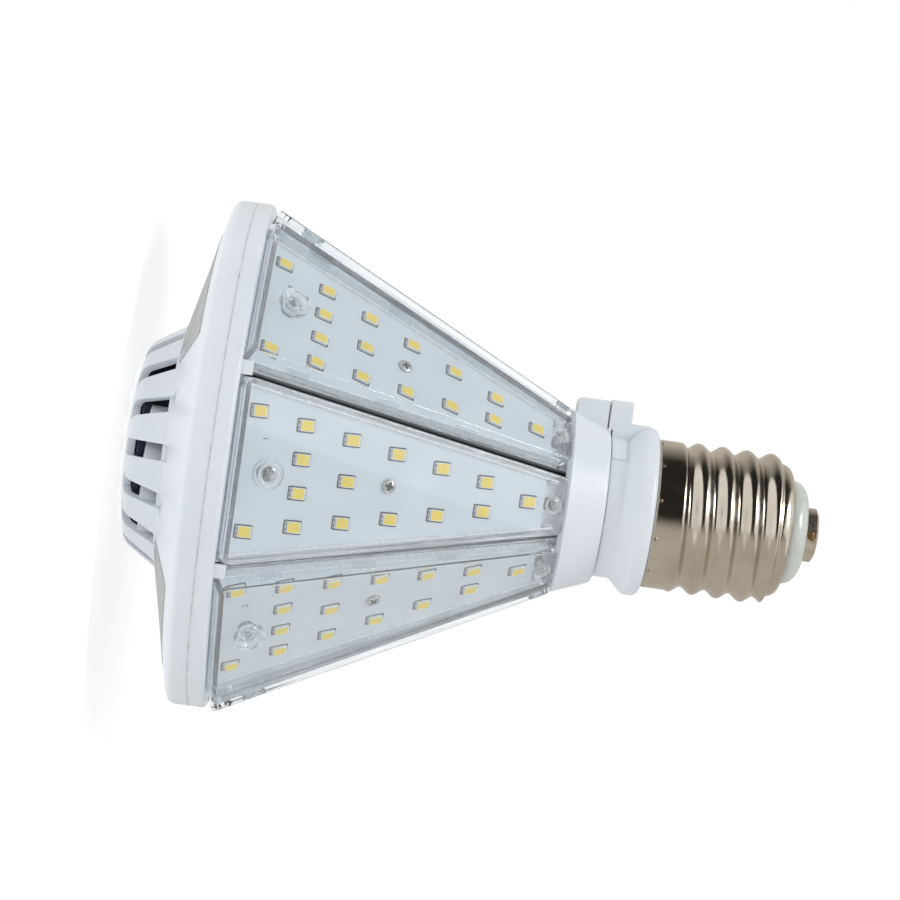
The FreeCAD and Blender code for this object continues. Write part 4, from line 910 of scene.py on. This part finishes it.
def threadTree():
    tree = bpy.data.node_groups.new("rolledThread", "GeometryNodeTree")
    tree.interface.new_socket("Geometry", in_out="INPUT", socket_type="NodeSocketGeometry")
    for label in thread:
        kind = "Int" if label in ("Around", "Along") else "Float"
        tree.interface.new_socket(label, in_out="INPUT", socket_type="NodeSocket" + kind)
    tree.interface.new_socket("Geometry", in_out="OUTPUT", socket_type="NodeSocketGeometry")
    given = put(tree, "NodeGroupInput").outputs

    def maths(operation, first, second=0.0, third=0.0):
        return put(tree, "ShaderNodeMath", {0: first, 1: second, 2: third}, operation=operation).outputs[0]

    def ramp(value, low, high):
        limits = {"Value": value, "From Min": low, "From Max": high, "To Min": 0.0, "To Max": 1.0}
        return put(tree, "ShaderNodeMapRange", limits, interpolation_type="SMOOTHSTEP").outputs["Result"]

    grid = put(tree, "GeometryNodeMeshGrid", {
        "Size X": 1.0, "Size Y": 1.0, "Vertices X": given["Around"], "Vertices Y": given["Along"]})
    spot = put(tree, "ShaderNodeSeparateXYZ", {"Vector": put(tree, "GeometryNodeInputPosition").outputs[0]})
    angle = maths("MULTIPLY", maths("ADD", spot.outputs["X"], 0.5), 2 * math.pi)
    span = maths("SUBTRACT", given["End"], given["Start"])
    height = maths("MULTIPLY_ADD", maths("ADD", spot.outputs["Y"], 0.5), span, given["Start"])
    # phase of the thread, whole numbers on its ridges
    turn = maths("MULTIPLY", maths("ADD", angle, math.pi / 2), 1 / (2 * math.pi))
    phase = maths("SUBTRACT", maths("DIVIDE", maths("SUBTRACT", height, given["Ridge"]), given["Pitch"]), turn)
    wave = maths("COSINE", maths("MULTIPLY", phase, 2 * math.pi))
    wave = maths("MULTIPLY_ADD", wave, 0.5, 0.5)
    wave = maths("POWER", wave, rolling["crestPower"])
    depth = maths("SUBTRACT", given["Crest"], given["Root"])
    rolled = maths("MULTIPLY_ADD", wave, depth, given["Root"])
    into = ramp(height, given["Band End"], maths("ADD", given["Band End"], rolling["runIn"]))
    before, after = rolling["runOut"]
    outOf = ramp(height, maths("SUBTRACT", given["Shoulder"], before), maths("ADD", given["Shoulder"], after))
    plain = maths("MULTIPLY_ADD", outOf, maths("SUBTRACT", given["Tip"], given["Band"]), given["Band"])
    share = maths("MULTIPLY", into, maths("SUBTRACT", 1.0, outOf))
    radius = maths("MULTIPLY_ADD", maths("SUBTRACT", rolled, plain), share, plain)
    # the shoulder rounds in to the mouth
    near = maths("SUBTRACT", height, given["Shoulder"])
    near = maths("DIVIDE", near, maths("SUBTRACT", given["End"], given["Shoulder"]))
    near = maths("MAXIMUM", near, 0.0)
    near = maths("POWER", maths("MULTIPLY", near, rolling["mouthShare"]), rolling["mouthPower"])
    near = maths("SUBTRACT", 1.0, maths("SQRT", maths("SUBTRACT", 1.0, near)))
    radius = maths("SUBTRACT", radius, maths("MULTIPLY", maths("SUBTRACT", radius, given["Mouth"]), near))
    # the open end is rolled in a little
    curl = maths("SUBTRACT", 1.0, ramp(height, given["Start"], maths("ADD", given["Start"], rolling["curlLength"])))
    radius = maths("MULTIPLY_ADD", curl, -rolling["curlDepth"], radius)
    x, y = (maths("MULTIPLY", radius, maths(wanted, angle)) for wanted in ("COSINE", "SINE"))
    moved = put(tree, "ShaderNodeCombineXYZ", {"X": x, "Y": y, "Z": height})
    metres = put(tree, "ShaderNodeVectorMath", {0: moved.outputs[0], 3: mm}, operation="SCALE")
    made = put(tree, "GeometryNodeSetPosition", {"Geometry": grid.outputs["Mesh"], "Position": metres.outputs[0]})
    made = put(tree, "GeometryNodeMergeByDistance", {"Geometry": made.outputs[0], "Distance": 1e-6})
    made = put(tree, "GeometryNodeSetShadeSmooth", {"Geometry": made.outputs[0]})
    made = put(tree, "GeometryNodeRealizeInstances", {"Geometry": made.outputs[0]})
    made = put(tree, "GeometryNodeSetMaterial", {"Geometry": made.outputs[0], "Material": nickel})
    put(tree, "NodeGroupOutput", {0: made.outputs[0]})
    return tree


def threadedShell():
    source = linked("shellSource", bpy.data.meshes.new("shellSource"))
    tree = threadTree()
    modifier = source.modifiers.new("thread", "NODES")
    modifier.node_group = tree
    for item in tree.interface.items_tree:
        if item.in_out == "INPUT" and item.name in thread:
            modifier[item.identifier] = thread[item.name]
    piece = linked("threadedShell", plainMesh("threadedShell", source))
    wall = piece.modifiers.new("wall", "SOLIDIFY")
    wall.thickness = rolling["thick"] * mm
    wall.offset = -1
    wall.use_rim = True
    return ridden(piece, "lamp", "nickel", "screw_shell")


threadedShell()
print("screw shell rolled")


# Punch marks that stake the shell to the neck, each with a dark disc in its pit as painted shade
stakes = {
    "count": 12, "first": -103.9, "height": 136.1, "radius": 19.3, "size": 0.5, "around": 14,
    "lip": ((0.45, 0.03), (0.6, 0.07), (0.85, 0.1), (1.1, 0.03), (1.15, -0.15)),
    "pit": ((0.1, 0.012), (0.5, 0.02), (0.5, -0.1)),
}


def stakeShape():
    shape = Shape()
    for part, name, caps in ((0, "lip", (False, True)), (1, "pit", (True, True))):
        profile = [(stakes["size"] * share, height) for share, height in stakes[name]]
        shape.loft(turnedLoops(profile, stakes["around"]), part, caps=caps)
    return shape.made("stakeShape", 60)


def stakePlaces():
    places = []
    for index in range(stakes["count"]):
        turn = Matrix.Rotation(math.radians(stakes["first"] + 360 / stakes["count"] * index), 4, "Z")
        out = Matrix.Translation(Vector((stakes["radius"], 0, stakes["height"])) * mm)
        places.append(turn @ out @ Matrix.Rotation(math.radians(90), 4, "Y"))
    return places


# the pits take the dark ink as painted shade
stakeMesh = repeated("shellStakes", stakeShape(), stakePlaces(), [nickel, inkAndPitShade], spin=180, seed=3)
ridden(linked("shellStakes", stakeMesh), "lamp", "nickel")


# Solder on the rim of the centre contact
solderSpot = {"turn": -92, "reach": 6.6, "height": 177.2, "size": (1.1, 1.5, 1.0)}


def contactSolder():
    shape = bmesh.new()
    bmesh.ops.create_icosphere(shape, subdivisions=3, radius=1.0)
    for vertex in shape.verts:
        x, y, z = vertex.co
        lump = 1 + 0.12 * math.sin(3.1 * x + 1.3) * math.cos(2.7 * y) + 0.08 * math.sin(4.3 * z + x)
        vertex.co = Vector(v * wide for v, wide in zip((x, y, z), solderSpot["size"])) * lump * mm
    mesh = bpy.data.meshes.new("contactSolder")
    shape.to_mesh(mesh)
    mesh.materials.append(solder)
    mesh.shade_smooth()
    place = Matrix.Translation(Vector((solderSpot["reach"], 0, solderSpot["height"])) * mm)
    mesh.transform(Matrix.Rotation(math.radians(solderSpot["turn"]), 4, "Z") @ place)
    return ridden(linked("contactSolder", mesh), "lamp", "nickel")


contactSolder()
print("base dressed")
